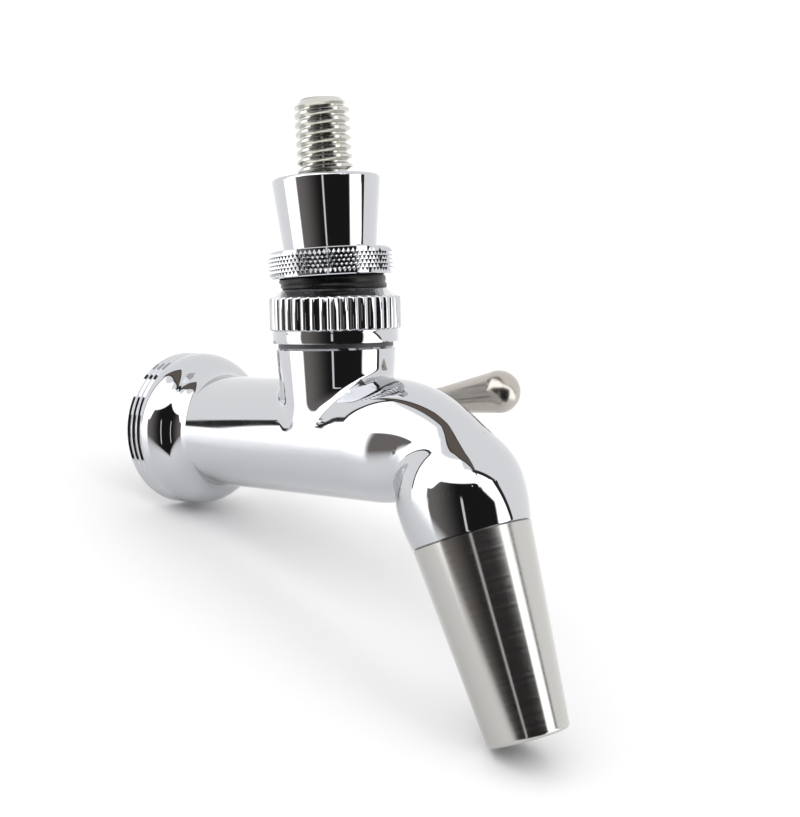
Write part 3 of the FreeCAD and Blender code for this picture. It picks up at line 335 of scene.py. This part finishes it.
def body_distance(points):
    """How far points, in millimetres, stand out of the polished skin."""
    x, y, z = points.T
    around = numpy.hypot(y, z)
    # The rim's dome, its hollow and the tube with its rounded end.
    closing = numpy.maximum(x - TUBE_END, 0) * TUBE_RADIUS / TUBE_END_LENGTH
    tube = (numpy.hypot(closing, around) - TUBE_RADIUS) * ROUND_END_SHARE
    hollow_height = TUBE_RADIUS + RIM_HOLLOW
    hollow_run = math.sqrt((RIM_ARC + RIM_HOLLOW) ** 2 - (hollow_height - FLANGE_RADIUS + RIM_ARC) ** 2)
    dome = numpy.hypot(x - RIM_END, around - FLANGE_RADIUS + RIM_ARC) - RIM_ARC
    hollow = RIM_HOLLOW - numpy.hypot(x - RIM_END - hollow_run, around - hollow_height)
    turning = RIM_END + hollow_run * RIM_ARC / (RIM_ARC + RIM_HOLLOW)
    tube = numpy.where(x < turning, dome, numpy.where(x < RIM_END + hollow_run, hollow, tube))
    # The ridge, a rod that bends over to the chamber.
    past_start = x - BEND_START
    over_centre = z + BEND_RADIUS
    ridge_bend = BEND_RADIUS + RIDGE_TOP - RIDGE_RADIUS
    bent = numpy.hypot(numpy.hypot(past_start, over_centre) - ridge_bend, y) - RIDGE_RADIUS
    past_end = past_start * math.cos(BEND_ANGLE) - over_centre * math.sin(BEND_ANGLE)
    rod = numpy.hypot(z - RIDGE_TOP + RIDGE_RADIUS, y)
    rod = numpy.hypot(rod, numpy.maximum(-past_start - RIDGE_BACK, 0)) - RIDGE_RADIUS
    ridge = numpy.where(past_start > 0, numpy.maximum(bent, past_end), rod)
    # The chamber, from the joint up. Its join with the rest is plain near the joint.
    rise = joint_height(points)
    off_axis = (x - JOINT_X) * math.sin(BEND_ANGLE) + (z - JOINT_Z) * math.cos(BEND_ANGLE)
    crown = numpy.maximum(rise - CHAMBER_WIDEST, 0) * CHAMBER_RADIUS / CHAMBER_CROWN
    upper = (numpy.sqrt(off_axis ** 2 + y ** 2 + crown ** 2) - CHAMBER_RADIUS) * ROUND_END_SHARE
    narrowing = numpy.clip(1 - rise / CHAMBER_WIDEST, 0, 1) ** 2 * (CHAMBER_RADIUS - JOINT_RADIUS)
    lower = numpy.hypot(off_axis, y) - CHAMBER_RADIUS + narrowing
    chamber = numpy.where(rise > CHAMBER_WIDEST, upper, lower)
    body = soft_union(tube, ridge, RIDGE_SOFT)
    fading = numpy.clip((rise - CHAMBER_PLAIN) / CHAMBER_PLAIN, LEAST_SOFT, 1)
    body = soft_union(body, chamber, CHAMBER_SOFT * fading)
    # The neck, which widens a little on its way up.
    neck_radius = NECK_FOOT_RADIUS + (NECK_RADIUS - NECK_FOOT_RADIUS) * numpy.clip(z / NECK_EDGE, 0, 1)
    neck = numpy.maximum(numpy.hypot(x - NECK_X, y) - neck_radius, -z)
    return soft_union(body, neck, NECK_SOFT)


def body_slope(points):
    """The way in which the distance to the skin grows."""
    step = 0.01
    change = [body_distance(points + shift) - body_distance(points - shift) for shift in numpy.eye(3) * step]
    return numpy.stack(change, axis=1) / (2 * step)


def unit(vectors):
    """Vectors brought to length 1."""
    return vectors / numpy.maximum(numpy.linalg.norm(vectors, axis=1, keepdims=True), 1e-9)


SKIN_REACH = 1.3
SKIN_FACING = 0.3


def polished(shell):
    """Which faces belong to the polished skin: not the rim's thread, the bores, edges or boss."""
    middles = numpy.array([face.calc_center_median() for face in shell.faces]) / MM
    facing = numpy.array([face.normal for face in shell.faces])
    near = numpy.abs(body_distance(middles)) < SKIN_REACH
    outward = (facing * unit(body_slope(middles))).sum(axis=1) > SKIN_FACING
    place = (middles[:, 0] > RIM_END) & (middles[:, 2] < NECK_EDGE) & (joint_height(middles) > 0)
    at_boss = (middles[:, 1] > 0) & (numpy.hypot(middles[:, 0] - BOSS_X, middles[:, 2]) < BOSS_FOOT)
    return near & outward & place & ~at_boss


# The frame's own corner normals travel along, for the faces that aren't polished.
WELD = 0.002
body_mesh = nodes["faucet_body"].data.copy()
normals = numpy.empty(len(body_mesh.loops) * 3, numpy.float32)
body_mesh.corner_normals.foreach_get("vector", normals)
body_mesh.attributes.new("turned_normal", "FLOAT_VECTOR", "CORNER").data.foreach_set("vector", normals)
shell = bmesh.new()
shell.from_mesh(body_mesh)
bmesh.ops.remove_doubles(shell, verts=shell.verts, dist=WELD * MM)

# Edges of the skin are halved until they are short, or until the skin hardly turns along them.
PLAIN_EDGE = 3.0
SHORT_EDGE = 0.3
EDGE_TURN = math.radians(3.5)
MOST_HALVINGS = 9
for _ in range(MOST_HALVINGS):
    chosen = polished(shell)
    edges = list({edge for face, inside in zip(shell.faces, chosen) if inside for edge in face.edges})
    ends = numpy.array([[edge.verts[0].co, edge.verts[1].co] for edge in edges]) / MM
    turning = numpy.linalg.norm(unit(body_slope(ends[:, 1])) - unit(body_slope(ends[:, 0])), axis=1)
    length = numpy.linalg.norm(ends[:, 1] - ends[:, 0], axis=1)
    too_long = (length > PLAIN_EDGE) | (length > SHORT_EDGE) & (turning > EDGE_TURN)
    if not too_long.any():
        break
    bmesh.ops.subdivide_edges(shell, edges=[edge for edge, split in zip(edges, too_long) if split], cuts=1)
    bmesh.ops.triangulate(shell, faces=[face for face in shell.faces if len(face.verts) > 3])
shell.normal_update()

# Vertices that only the skin uses are moved on to it, and the skin gives its corners their normals.
PULLS = 6
chosen = polished(shell)
shell.verts.ensure_lookup_table()
shell.verts.index_update()
held = {vertex.index for face, inside in zip(shell.faces, chosen) if not inside for vertex in face.verts}
skin = {vertex.index for face, inside in zip(shell.faces, chosen) if inside for vertex in face.verts}
loose = sorted(skin - held)
places = numpy.array([shell.verts[index].co for index in loose]) / MM
for _ in range(PULLS):
    slope = body_slope(places)
    places -= slope * (body_distance(places) / (slope ** 2).sum(axis=1))[:, None]
for index, place in zip(loose, places):
    shell.verts[index].co = Vector(place) * MM
shell.to_mesh(body_mesh)
shell.free()
body_mesh.name = "cast_body"
points = numpy.empty(len(body_mesh.vertices) * 3)
body_mesh.vertices.foreach_get("co", points)
smooth = unit(body_slope(points.reshape(-1, 3) / MM))
corner_points = numpy.empty(len(body_mesh.loops), int)
body_mesh.loops.foreach_get("vertex_index", corner_points)
normals = numpy.empty(len(body_mesh.loops) * 3, numpy.float32)
body_mesh.attributes["turned_normal"].data.foreach_get("vector", normals)
normals = unit(normals.reshape(-1, 3))
on_skin = numpy.repeat(chosen, 3)
normals[on_skin] = smooth[corner_points[on_skin]]
body_mesh.attributes.remove(body_mesh.attributes["turned_normal"])
body_mesh.polygons.foreach_set("use_smooth", [True] * len(body_mesh.polygons))
body_mesh.normals_split_custom_set(normals.tolist())
cast_body = bpy.data.objects.new("cast_body", body_mesh)
bpy.context.scene.collection.objects.link(cast_body)

# Chrome plate on polished brass: a cool mirror, with wipe marks that only blur it here and there.
WIPE_MARK = 6.0
chrome, tree = new_material("polished_chrome_plate")
place = add_node(tree, "ShaderNodeTexCoord").outputs["Object"]
wipes = add_node(tree, "ShaderNodeTexNoise", Vector=place, Scale=1 / (WIPE_MARK * MM), Detail=3.0)
blur = add_node(tree, "ShaderNodeMapRange", Value=wipes,
                From_Min=0.35, From_Max=0.75, To_Min=0.02, To_Max=0.06)
metal = add_node(tree, "ShaderNodeBsdfPrincipled", Base_Color=linear("#C4C5C8"), Metallic=1.0, Roughness=blur)
add_node(tree, "ShaderNodeOutputMaterial", Surface=metal)
body_mesh.materials.clear()
body_mesh.materials.append(chrome)
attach(cast_body, "faucet")
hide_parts("faucet_body")


# Shank washer. Nitrile rubber, moulded with a raised bead on its rear face, pressed into the rear
# of the body, where the shank's end squeezes it.
def across_outlines(sections, closed):
    """A shell across a run of outlines with as many points each. A closed run meets itself."""
    weld = 0.0001
    shell = bmesh.new()
    rings = [[shell.verts.new(Vector(point) * MM) for point in section] for section in sections]
    for here, after in zip(rings, rings[1:] + rings[:1] if closed else rings[1:]):
        for index in range(len(here)):
            following = (index + 1) % len(here)
            shell.faces.new((here[index], after[index], after[following], here[following]))
    if not closed:
        shell.faces.new(rings[0])
        shell.faces.new(rings[-1])
    bmesh.ops.remove_doubles(shell, verts=shell.verts, dist=weld * MM)
    loose_edges = [edge for edge in shell.edges if not edge.link_faces]
    bmesh.ops.delete(shell, geom=loose_edges, context="EDGES")
    bmesh.ops.recalc_face_normals(shell, faces=shell.faces)
    return shell


def turned(outline, columns):
    """A shell of revolution about Z. The outline is a closed line of (radius, height)."""
    turns = [2 * math.pi * column / columns for column in range(columns)]
    return across_outlines([[(radius * math.cos(turn), radius * math.sin(turn), height)
                             for radius, height in outline] for turn in turns], True)


def finished(name, shell, material, place=Matrix.Identity(4)):
    """An object made of a shell, moved to its place, with smooth faces between its sharp edges."""
    sharp = math.radians(32)
    mesh = bpy.data.meshes.new(name)
    shell.to_mesh(mesh)
    shell.free()
    mesh.transform(place)
    mesh.polygons.foreach_set("use_smooth", [True] * len(mesh.polygons))
    mesh.set_sharp_from_angle(angle=sharp)
    mesh.materials.append(material)
    piece = bpy.data.objects.new(name, mesh)
    bpy.context.scene.collection.objects.link(piece)
    return piece


def arc(middle, radius, start, end, steps):
    """Points of an arc in an outline, between two angles in degrees from the outward radius."""
    turns = [math.radians(start + (end - start) * step / steps) for step in range(steps + 1)]
    return [(middle[0] + radius * math.cos(turn), middle[1] + radius * math.sin(turn)) for turn in turns]


# Nitrile rubber, moulded: black with a soft shine, and a fine grain left by the mould.
GRAIN = 0.25
GRAIN_DEPTH = 0.03
rubber, tree = new_material("black_nitrile_rubber")
place = add_node(tree, "ShaderNodeTexCoord").outputs["Object"]
grain = add_node(tree, "ShaderNodeTexNoise", Vector=place, Scale=1 / (GRAIN * MM), Detail=2.0)
dusty = add_node(tree, "ShaderNodeMapRange", Value=grain,
                 From_Min=0.3, From_Max=0.8, To_Min=0.24, To_Max=0.42)
pitted = add_node(tree, "ShaderNodeBump", Strength=0.25, Distance=GRAIN_DEPTH * MM, Height=grain)
skin = add_node(tree, "ShaderNodeBsdfPrincipled", Base_Color=linear("#09090A"), Specular_IOR_Level=0.3,
                Roughness=dusty, Normal=pitted)
add_node(tree, "ShaderNodeOutputMaterial", Surface=skin)

FORWARD = Matrix.Rotation(math.radians(90), 4, "Y")
WASHER_INSIDE = 6.6
WASHER_OUTSIDE = 9.37
WASHER_REAR = 0.25
WASHER_FRONT = 2.0
WASHER_ROUND = 0.35
BEAD_SHARE = 0.7
WASHER_COLUMNS = 96
inner = WASHER_INSIDE + WASHER_ROUND
outer = WASHER_OUTSIDE - WASHER_ROUND
bead_middle = (WASHER_INSIDE + WASHER_OUTSIDE) / 2
washer_outline = [*arc((inner, WASHER_REAR + WASHER_ROUND), WASHER_ROUND, 180, 270, 4),
                  (bead_middle - 2 * WASHER_ROUND, WASHER_REAR),
                  *arc((bead_middle, WASHER_REAR), WASHER_ROUND * BEAD_SHARE, 180, 360, 6),
                  (bead_middle + 2 * WASHER_ROUND, WASHER_REAR),
                  *arc((outer, WASHER_REAR + WASHER_ROUND), WASHER_ROUND, 270, 360, 4),
                  *arc((outer, WASHER_FRONT - WASHER_ROUND), WASHER_ROUND, 0, 90, 4),
                  *arc((inner, WASHER_FRONT - WASHER_ROUND), WASHER_ROUND, 90, 180, 4)]
moulded_washer = finished("moulded_shank_washer", turned(washer_outline, WASHER_COLUMNS), rubber, FORWARD)
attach(moulded_washer, "faucet")
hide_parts("shank_washer")


# Turned steel pieces: the ring that keeps the cone in the inlet, the shuttle that opens the seal,
# the cross shaft of the flow control and the screw of its lever.
def dress(names, material):
    """Gives CAD nodes whose shape stays a material."""
    for name in names:
        nodes[name].data.materials.clear()
        nodes[name].data.materials.append(material)


# Stainless steel from the lathe: semi-bright, with fine tool marks that only vary its blur.
TOOL_MARK = 0.4
machined, tree = new_material("machined_stainless")
place = add_node(tree, "ShaderNodeTexCoord").outputs["Object"]
marks = add_node(tree, "ShaderNodeTexNoise", Vector=place, Scale=1 / (TOOL_MARK * MM), Detail=2.0)
blur = add_node(tree, "ShaderNodeMapRange", Value=marks, From_Min=0.3, From_Max=0.7, To_Min=0.12, To_Max=0.24)
metal = add_node(tree, "ShaderNodeBsdfPrincipled", Base_Color=linear("#C9C8C2"), Metallic=1.0, Roughness=blur)
add_node(tree, "ShaderNodeOutputMaterial", Surface=metal)
dress(["retaining_ring", "shuttle", "flow_shaft", "flow_lever_screw"], machined)

# Plastic pieces, machined from acetal rod. The seats, the guide and the gland washer are white, and
# the cone, the sleeve, the shuttle's nose and the collar's washer grey. All are matt and slightly
# waxy, with a faint cloud in their colour.
CLOUD = 1.5
CUT_DEPTH = 0.02
WHITE_PIECES = ["ball_seat_ring", "bearing_cup", "tail_guide", "gland_washer"]
GREY_PIECES = ["flow_cone", "shuttle_nose", "flow_sleeve", "bonnet_washer"]
for name, colour, worn, pieces in (("white_acetal", "#DCDCD8", "#CFCFC8", WHITE_PIECES),
                                   ("grey_acetal", "#4A4A4C", "#3C3C3E", GREY_PIECES)):
    acetal, tree = new_material(name)
    place = add_node(tree, "ShaderNodeTexCoord").outputs["Object"]
    cloud = add_node(tree, "ShaderNodeTexNoise", Vector=place, Scale=1 / (CLOUD * MM), Detail=3.0)
    tone = add_node(tree, "ShaderNodeMix", {"data_type": "RGBA"},
                    in_0=cloud, in_6=linear(colour), in_7=linear(worn))
    cut = add_node(tree, "ShaderNodeBump", Strength=0.15, Distance=CUT_DEPTH * MM, Height=cloud)
    skin = add_node(tree, "ShaderNodeBsdfPrincipled", Base_Color=tone.outputs[2], Roughness=0.42, Normal=cut)
    add_node(tree, "ShaderNodeOutputMaterial", Surface=skin)
    dress(pieces, acetal)

# Seals: O-rings in the ball seat, on the shuttle's nose, on the sleeve, the shaft and the spout.
# They are moulded in the same rubber as the shank washer, and each sits in a groove.
dress(["ball_seat_o_ring", "seat_o_ring", "sleeve_o_ring_rear", "sleeve_o_ring_front",
       "shaft_o_ring", "spout_o_ring"], rubber)


# Bonnet collar. Turned brass, chrome-plated, screwed on the neck by hand: a plain band, a grip of
# rounded ribs, and a cone on top that holds the bearing cup down.
def around_the_axis(piece, material, count):
    """Repeats a mesh evenly about Z with geometry nodes, and makes the result plain again."""
    tree = bpy.data.node_groups.new("around_the_axis", "GeometryNodeTree")
    sockets = tree.interface
    sockets.new_socket("Geometry", in_out="INPUT", socket_type="NodeSocketGeometry")
    count_socket = sockets.new_socket("Count", in_out="INPUT", socket_type="NodeSocketInt")
    finish_socket = sockets.new_socket("Finish", in_out="INPUT", socket_type="NodeSocketMaterial")
    sockets.new_socket("Geometry", in_out="OUTPUT", socket_type="NodeSocketGeometry")
    given = add_node(tree, "NodeGroupInput")
    step = add_node(tree, "ShaderNodeMath", {"operation": "DIVIDE"},
                    in_0=2 * math.pi, in_1=given.outputs["Count"])
    turn = add_node(tree, "ShaderNodeMath", {"operation": "MULTIPLY"},
                    in_0=add_node(tree, "GeometryNodeInputIndex"), in_1=step)
    about_z = add_node(tree, "ShaderNodeCombineXYZ", Z=turn)
    rotation = add_node(tree, "FunctionNodeEulerToRotation", Euler=about_z)
    spots = add_node(tree, "GeometryNodePoints", Count=given.outputs["Count"])
    copies = add_node(tree, "GeometryNodeInstanceOnPoints", Points=spots,
                      Instance=given.outputs["Geometry"], Rotation=rotation)
    real = add_node(tree, "GeometryNodeRealizeInstances", Geometry=copies)
    dressed = add_node(tree, "GeometryNodeSetMaterial", Geometry=real, Material=given.outputs["Finish"])
    add_node(tree, "NodeGroupOutput", Geometry=dressed)
    modifier = piece.modifiers.new("around_the_axis", "NODES")
    modifier.node_group = tree
    modifier[count_socket.identifier] = count
    modifier[finish_socket.identifier] = material
    plain = bpy.data.meshes.new_from_object(piece.evaluated_get(bpy.context.evaluated_depsgraph_get()))
    piece.modifiers.remove(modifier)
    piece.data = plain
    return piece


def joined(name, pieces, place):
    """One object from several at the origin, put in its place."""
    shell = bmesh.new()
    for piece in pieces:
        shell.from_mesh(piece.data)
    material = pieces[0].data.materials[0]
    for piece in pieces:
        bpy.data.objects.remove(piece)
    return finished(name, shell, material, place)


RIB_COUNT = 40
RIB_STEPS = 10
RIB_TOP = 11.32
RIB_VALLEY = 10.86
RIB_SINK = 0.4
RIB_FULLNESS = 0.8
GRIP_FOOT = 18.9
GRIP_TOP = 24.62
rib_rows = [(GRIP_FOOT, 0.0), (19.0, 0.6), (19.2, 1.0), (24.25, 1.0), (24.5, 0.65), (GRIP_TOP, 0.0)]
rib_sides = (math.pi / RIB_COUNT, -math.pi / RIB_COUNT)
sunk = RIB_VALLEY - RIB_SINK
rib_outlines = []
for height, fullness in rib_rows:
    outline = []
    for step in range(RIB_STEPS + 1):
        share = step / RIB_STEPS - 0.5
        turn = share * 2 * math.pi / RIB_COUNT
        swell = math.cos(share * math.pi) ** RIB_FULLNESS * fullness
        radius = RIB_VALLEY + (RIB_TOP - RIB_VALLEY) * swell
        outline.append((radius * math.cos(turn), radius * math.sin(turn), height))
    outline += [(sunk * math.cos(side), sunk * math.sin(side), height) for side in rib_sides]
    rib_outlines.append(outline)
ribs = around_the_axis(finished("rib", across_outlines(rib_outlines, False), chrome), chrome, RIB_COUNT)

COLLAR_FOOT = 16.7
COLLAR_TOP = 26.0
COLLAR_BORE = 9.06
BAND_RADIUS = 10.9
CONE_RADIUS = 8.9
STEM_HOLE = 6.5
CUP_RADIUS = 5.5
CUP_TOP = 22.0
COLLAR_COLUMNS = 160
collar_outline = [(COLLAR_BORE, COLLAR_FOOT), (10.6, COLLAR_FOOT), (10.82, 16.78), (BAND_RADIUS, 17.0),
                  (BAND_RADIUS, 18.6), (10.84, 18.8), (RIB_VALLEY, GRIP_FOOT), (RIB_VALLEY, 24.55),
                  (10.75, 24.66), (10.45, 24.72), (9.1, COLLAR_TOP - 0.1), (CONE_RADIUS, COLLAR_TOP),
                  (STEM_HOLE, COLLAR_TOP), (STEM_HOLE, 25.5), (CUP_RADIUS, CUP_TOP), (COLLAR_BORE, CUP_TOP)]
collar_core = finished("collar_core", turned(collar_outline, COLLAR_COLUMNS), chrome)
collar = joined("ribbed_bonnet_collar", [collar_core, ribs], Matrix.Translation((NECK_X * MM, 0, 0)))
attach(collar, "faucet")
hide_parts("bonnet_collar")

# Friction washer. Nitrile rubber, moulded, squeezed between the collar's cone and the lock nut, so
# that the lever stays where it is put. Its top follows the lever's lean.
LEAN = math.radians(2.9)
BALL_Z = 16.0
NUT_RISE = 11.9
SOFT_INSIDE = 7.8
SOFT_GAP = 0.03
SOFT_COLUMNS = 128
lean_axis = Vector((-math.sin(LEAN), 0, math.cos(LEAN)))
head_middle = NECK_X + lean_axis.x * NUT_RISE
soft_rows = [(SOFT_INSIDE, 0.0), (8.85, 0.0), (9.05, 0.06), (9.12, 0.2), (9.1, 0.34), (8.96, 0.42),
             (9.0, 0.5), (9.14, 0.6), (9.2, 0.75), (9.14, 0.9), (8.95, 0.985), (8.8, 1.0), (SOFT_INSIDE, 1.0)]
soft_outlines = []
for column in range(SOFT_COLUMNS):
    turn = 2 * math.pi * column / SOFT_COLUMNS
    outline = []
    for radius, share in soft_rows:
        x = NECK_X + (head_middle - NECK_X) * share + radius * math.cos(turn)
        top = BALL_Z + (NUT_RISE - SOFT_GAP - lean_axis.x * (x - NECK_X)) / lean_axis.z
        outline.append((x, radius * math.sin(turn), COLLAR_TOP + (top - COLLAR_TOP) * share))
    soft_outlines.append(outline)
soft_washer = finished("moulded_friction_washer", across_outlines(soft_outlines, True), rubber)
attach(soft_washer, "faucet")
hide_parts("friction_washer")
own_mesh(soft_washer)

# Ball lever. Turned stainless steel in one: a finger that moves the shuttle, a ball in its seat, a
# stem, and a 3/8-16 stud whose thread is rolled.
LEVER = Matrix.Translation((NECK_X * MM, 0, BALL_Z * MM)) @ Matrix.Rotation(-LEAN, 4, "Y")
FINGER_TIP = -15.0
FINGER_RADIUS = 2.35
FINGER_NECK = 1.9
BALL_RADIUS = 6.0
BALL_SHOULDER = 3.6
STEM_RADIUS = 4.2
STUD_FOOT = 29.0
STUD_TOP = 42.31
STUD_RADIUS = 4.76
STUD_ROOT = 3.85
STUD_CHAMFER = 0.42
LEVER_COLUMNS = 96
finger_angle = math.degrees(math.acos(FINGER_NECK / FINGER_RADIUS))
ball_foot = math.degrees(math.acos(FINGER_NECK / BALL_RADIUS))
ball_head = math.degrees(math.acos(BALL_SHOULDER / BALL_RADIUS))
lever_outline = [*arc((0, FINGER_TIP), FINGER_RADIUS, -90, finger_angle, 16),
                 *arc((0, 0), BALL_RADIUS, -ball_foot, ball_head, 40),
                 (BALL_SHOULDER, NUT_RISE), (STEM_RADIUS, NUT_RISE), (STEM_RADIUS, STUD_FOOT),
                 (STUD_ROOT, STUD_FOOT), (STUD_ROOT, STUD_TOP - STUD_CHAMFER),
                 (STUD_ROOT - STUD_CHAMFER, STUD_TOP), (0, STUD_TOP)]
lever_core = finished("lever_core", turned(lever_outline, LEVER_COLUMNS), machined)

# The thread is one ridge that winds up the stud. Its section is a share of the pitch and a share
# of the depth, and the stud's bevel cuts it off at the top.
THREAD_SECTION = ((0.02, -0.1), (0.06, 0.0), (0.33, 0.93), (0.38, 1.0),
                  (0.62, 1.0), (0.67, 0.93), (0.94, 0.0), (0.98, -0.1))
THREAD_PITCH = 1.5875
THREAD_START = 28.2
THREAD_STEPS = 64
THREAD_GAP = 0.02
RUN_IN_TURNS = 0.5
STUD_BEVEL = 1.3
thread_count = int((STUD_TOP - THREAD_START) / THREAD_PITCH * THREAD_STEPS)
thread_outlines = []
for step in range(thread_count + 1):
    turn = 2 * math.pi * step / THREAD_STEPS
    height = THREAD_START + THREAD_PITCH * step / THREAD_STEPS
    run_in = min(1, step / THREAD_STEPS / RUN_IN_TURNS)
    outline = []
    for share, fullness in THREAD_SECTION:
        z = min(height + share * THREAD_PITCH, STUD_TOP - THREAD_GAP)
        bevelled = STUD_RADIUS - max(0, z - STUD_TOP + STUD_BEVEL)
        radius = min(STUD_ROOT + (STUD_RADIUS - STUD_ROOT) * fullness * run_in, bevelled)
        outline.append((radius * math.cos(turn), radius * math.sin(turn), z))
    thread_outlines.append(outline)
thread = finished("stud_thread", across_outlines(thread_outlines, False), machined)
lever = joined("threaded_ball_lever", [lever_core, thread], LEVER)
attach(lever, "lever")
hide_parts("ball_lever")

# Lock nut. Turned brass with a diamond knurl rolled into its rim, chrome-plated and run down the
# stem by hand. The knurl's crossed grooves are 0.85 mm apart.
NUT_RADIUS = 10.76
NUT_TOP = 16.55
NUT_CHAMFER = 0.15
NUT_COLUMNS = 160
KNURL_TEETH = 80
KNURL_ROWS = 5
KNURL_DEPTH = 0.34
KNURL_EDGE = 0.3
KNURL_SINK = 0.03
knurl_foot = NUT_RISE + KNURL_EDGE
knurl_half = (NUT_TOP - NUT_RISE - 2 * KNURL_EDGE) / (KNURL_ROWS + 1)
core_radius = NUT_RADIUS - KNURL_DEPTH
ground = core_radius - KNURL_SINK
tooth_half = math.pi / KNURL_TEETH
column = bmesh.new()
for row in range(KNURL_ROWS):
    middle = tooth_half * (row % 2)
    height = knurl_foot + knurl_half * (row + 1)
    spots = [(ground, middle - tooth_half, height), (ground, middle, height - knurl_half),
             (ground, middle + tooth_half, height), (ground, middle, height + knurl_half)]
    foot = [column.verts.new(Vector((r * math.cos(a), r * math.sin(a), z)) * MM) for r, a, z in spots]
    peak = Vector((NUT_RADIUS * math.cos(middle), NUT_RADIUS * math.sin(middle), height)) * MM
    tip = column.verts.new(peak)
    for index in range(len(foot)):
        column.faces.new((foot[index], foot[(index + 1) % len(foot)], tip))
    column.faces.new(foot[::-1])
bmesh.ops.recalc_face_normals(column, faces=column.faces)
knurl = around_the_axis(finished("knurl_column", column, chrome), chrome, KNURL_TEETH)
nut_outline = [(STEM_RADIUS, NUT_RISE), (core_radius - NUT_CHAMFER, NUT_RISE),
               (core_radius, NUT_RISE + NUT_CHAMFER), (core_radius, NUT_TOP - NUT_CHAMFER),
               (core_radius - NUT_CHAMFER, NUT_TOP), (STEM_RADIUS, NUT_TOP)]
nut_core = finished("nut_core", turned(nut_outline, NUT_COLUMNS), chrome)
nut = joined("knurled_lock_nut", [nut_core, knurl], LEVER)
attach(nut, "lever")
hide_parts("lock_nut")

# Ferrule and gland nut. Turned brass, chrome-plated: the ferrule is the cone under a tap handle,
# and the gland nut holds the flow control's shaft in.
dress(["ferrule", "flow_gland_nut"], chrome)

# Spout. A stainless steel cone, screwed into the chamber. The lathe has left rings round it, too
# fine to see one by one, that smear its reflections along its length.
SPOUT_AXIS = Vector((math.cos(BEND_ANGLE), 0, -math.sin(BEND_ANGLE)))
RING_PITCH = 0.5
# The end face stands square on the axis, so the smear's direction is turned a little off it.
SMEAR_SKEW = 0.003
satin, tree = new_material("turned_satin_stainless")
place = add_node(tree, "ShaderNodeTexCoord").outputs["Object"]
down = add_node(tree, "ShaderNodeVectorMath", {"operation": "DOT_PRODUCT"}, in_0=place, in_1=SPOUT_AXIS)
ring_count = add_node(tree, "ShaderNodeMath", {"operation": "DIVIDE"},
                      in_0=down.outputs["Value"], in_1=RING_PITCH * MM)
rings = add_node(tree, "ShaderNodeTexNoise", {"noise_dimensions": "1D"}, W=ring_count, Scale=1.0, Detail=0.0)
blur = add_node(tree, "ShaderNodeMapRange", Value=rings,
                From_Min=0.25, From_Max=0.75, To_Min=0.13, To_Max=0.17)
lengthways = add_node(tree, "ShaderNodeCombineXYZ", X=SPOUT_AXIS.x, Y=SMEAR_SKEW, Z=SPOUT_AXIS.z)
metal = add_node(tree, "ShaderNodeBsdfPrincipled", Base_Color=linear("#BDBBB8"), Metallic=1.0, Roughness=blur,
                 Anisotropic=0.85, Tangent=lengthways)
add_node(tree, "ShaderNodeOutputMaterial", Surface=metal)
dress(["spout"], satin)

# Flow lever. Stainless steel, turned and fixed on the shaft's square end by its screw. Linishing
# gave it a satin finish, with fine scratches along the faucet.
SCRATCH_LENGTH = 10 / 3
SCRATCH_WIDTH = 0.4
along_scratch = 1 / (SCRATCH_LENGTH * MM)
across_scratch = 1 / (SCRATCH_WIDTH * MM)
linished, tree = new_material("linished_stainless")
place = add_node(tree, "ShaderNodeTexCoord").outputs["Object"]
stretched = add_node(tree, "ShaderNodeMapping", Vector=place,
                     Scale=(along_scratch, across_scratch, across_scratch))
scratches = add_node(tree, "ShaderNodeTexNoise", Vector=stretched, Scale=1.0, Detail=2.0)
blur = add_node(tree, "ShaderNodeMapRange", Value=scratches,
                From_Min=0.3, From_Max=0.7, To_Min=0.20, To_Max=0.25)
metal = add_node(tree, "ShaderNodeBsdfPrincipled", Base_Color=linear("#B4AFA8"), Metallic=1.0, Roughness=blur)
add_node(tree, "ShaderNodeOutputMaterial", Surface=metal)
dress(["flow_lever"], linished)
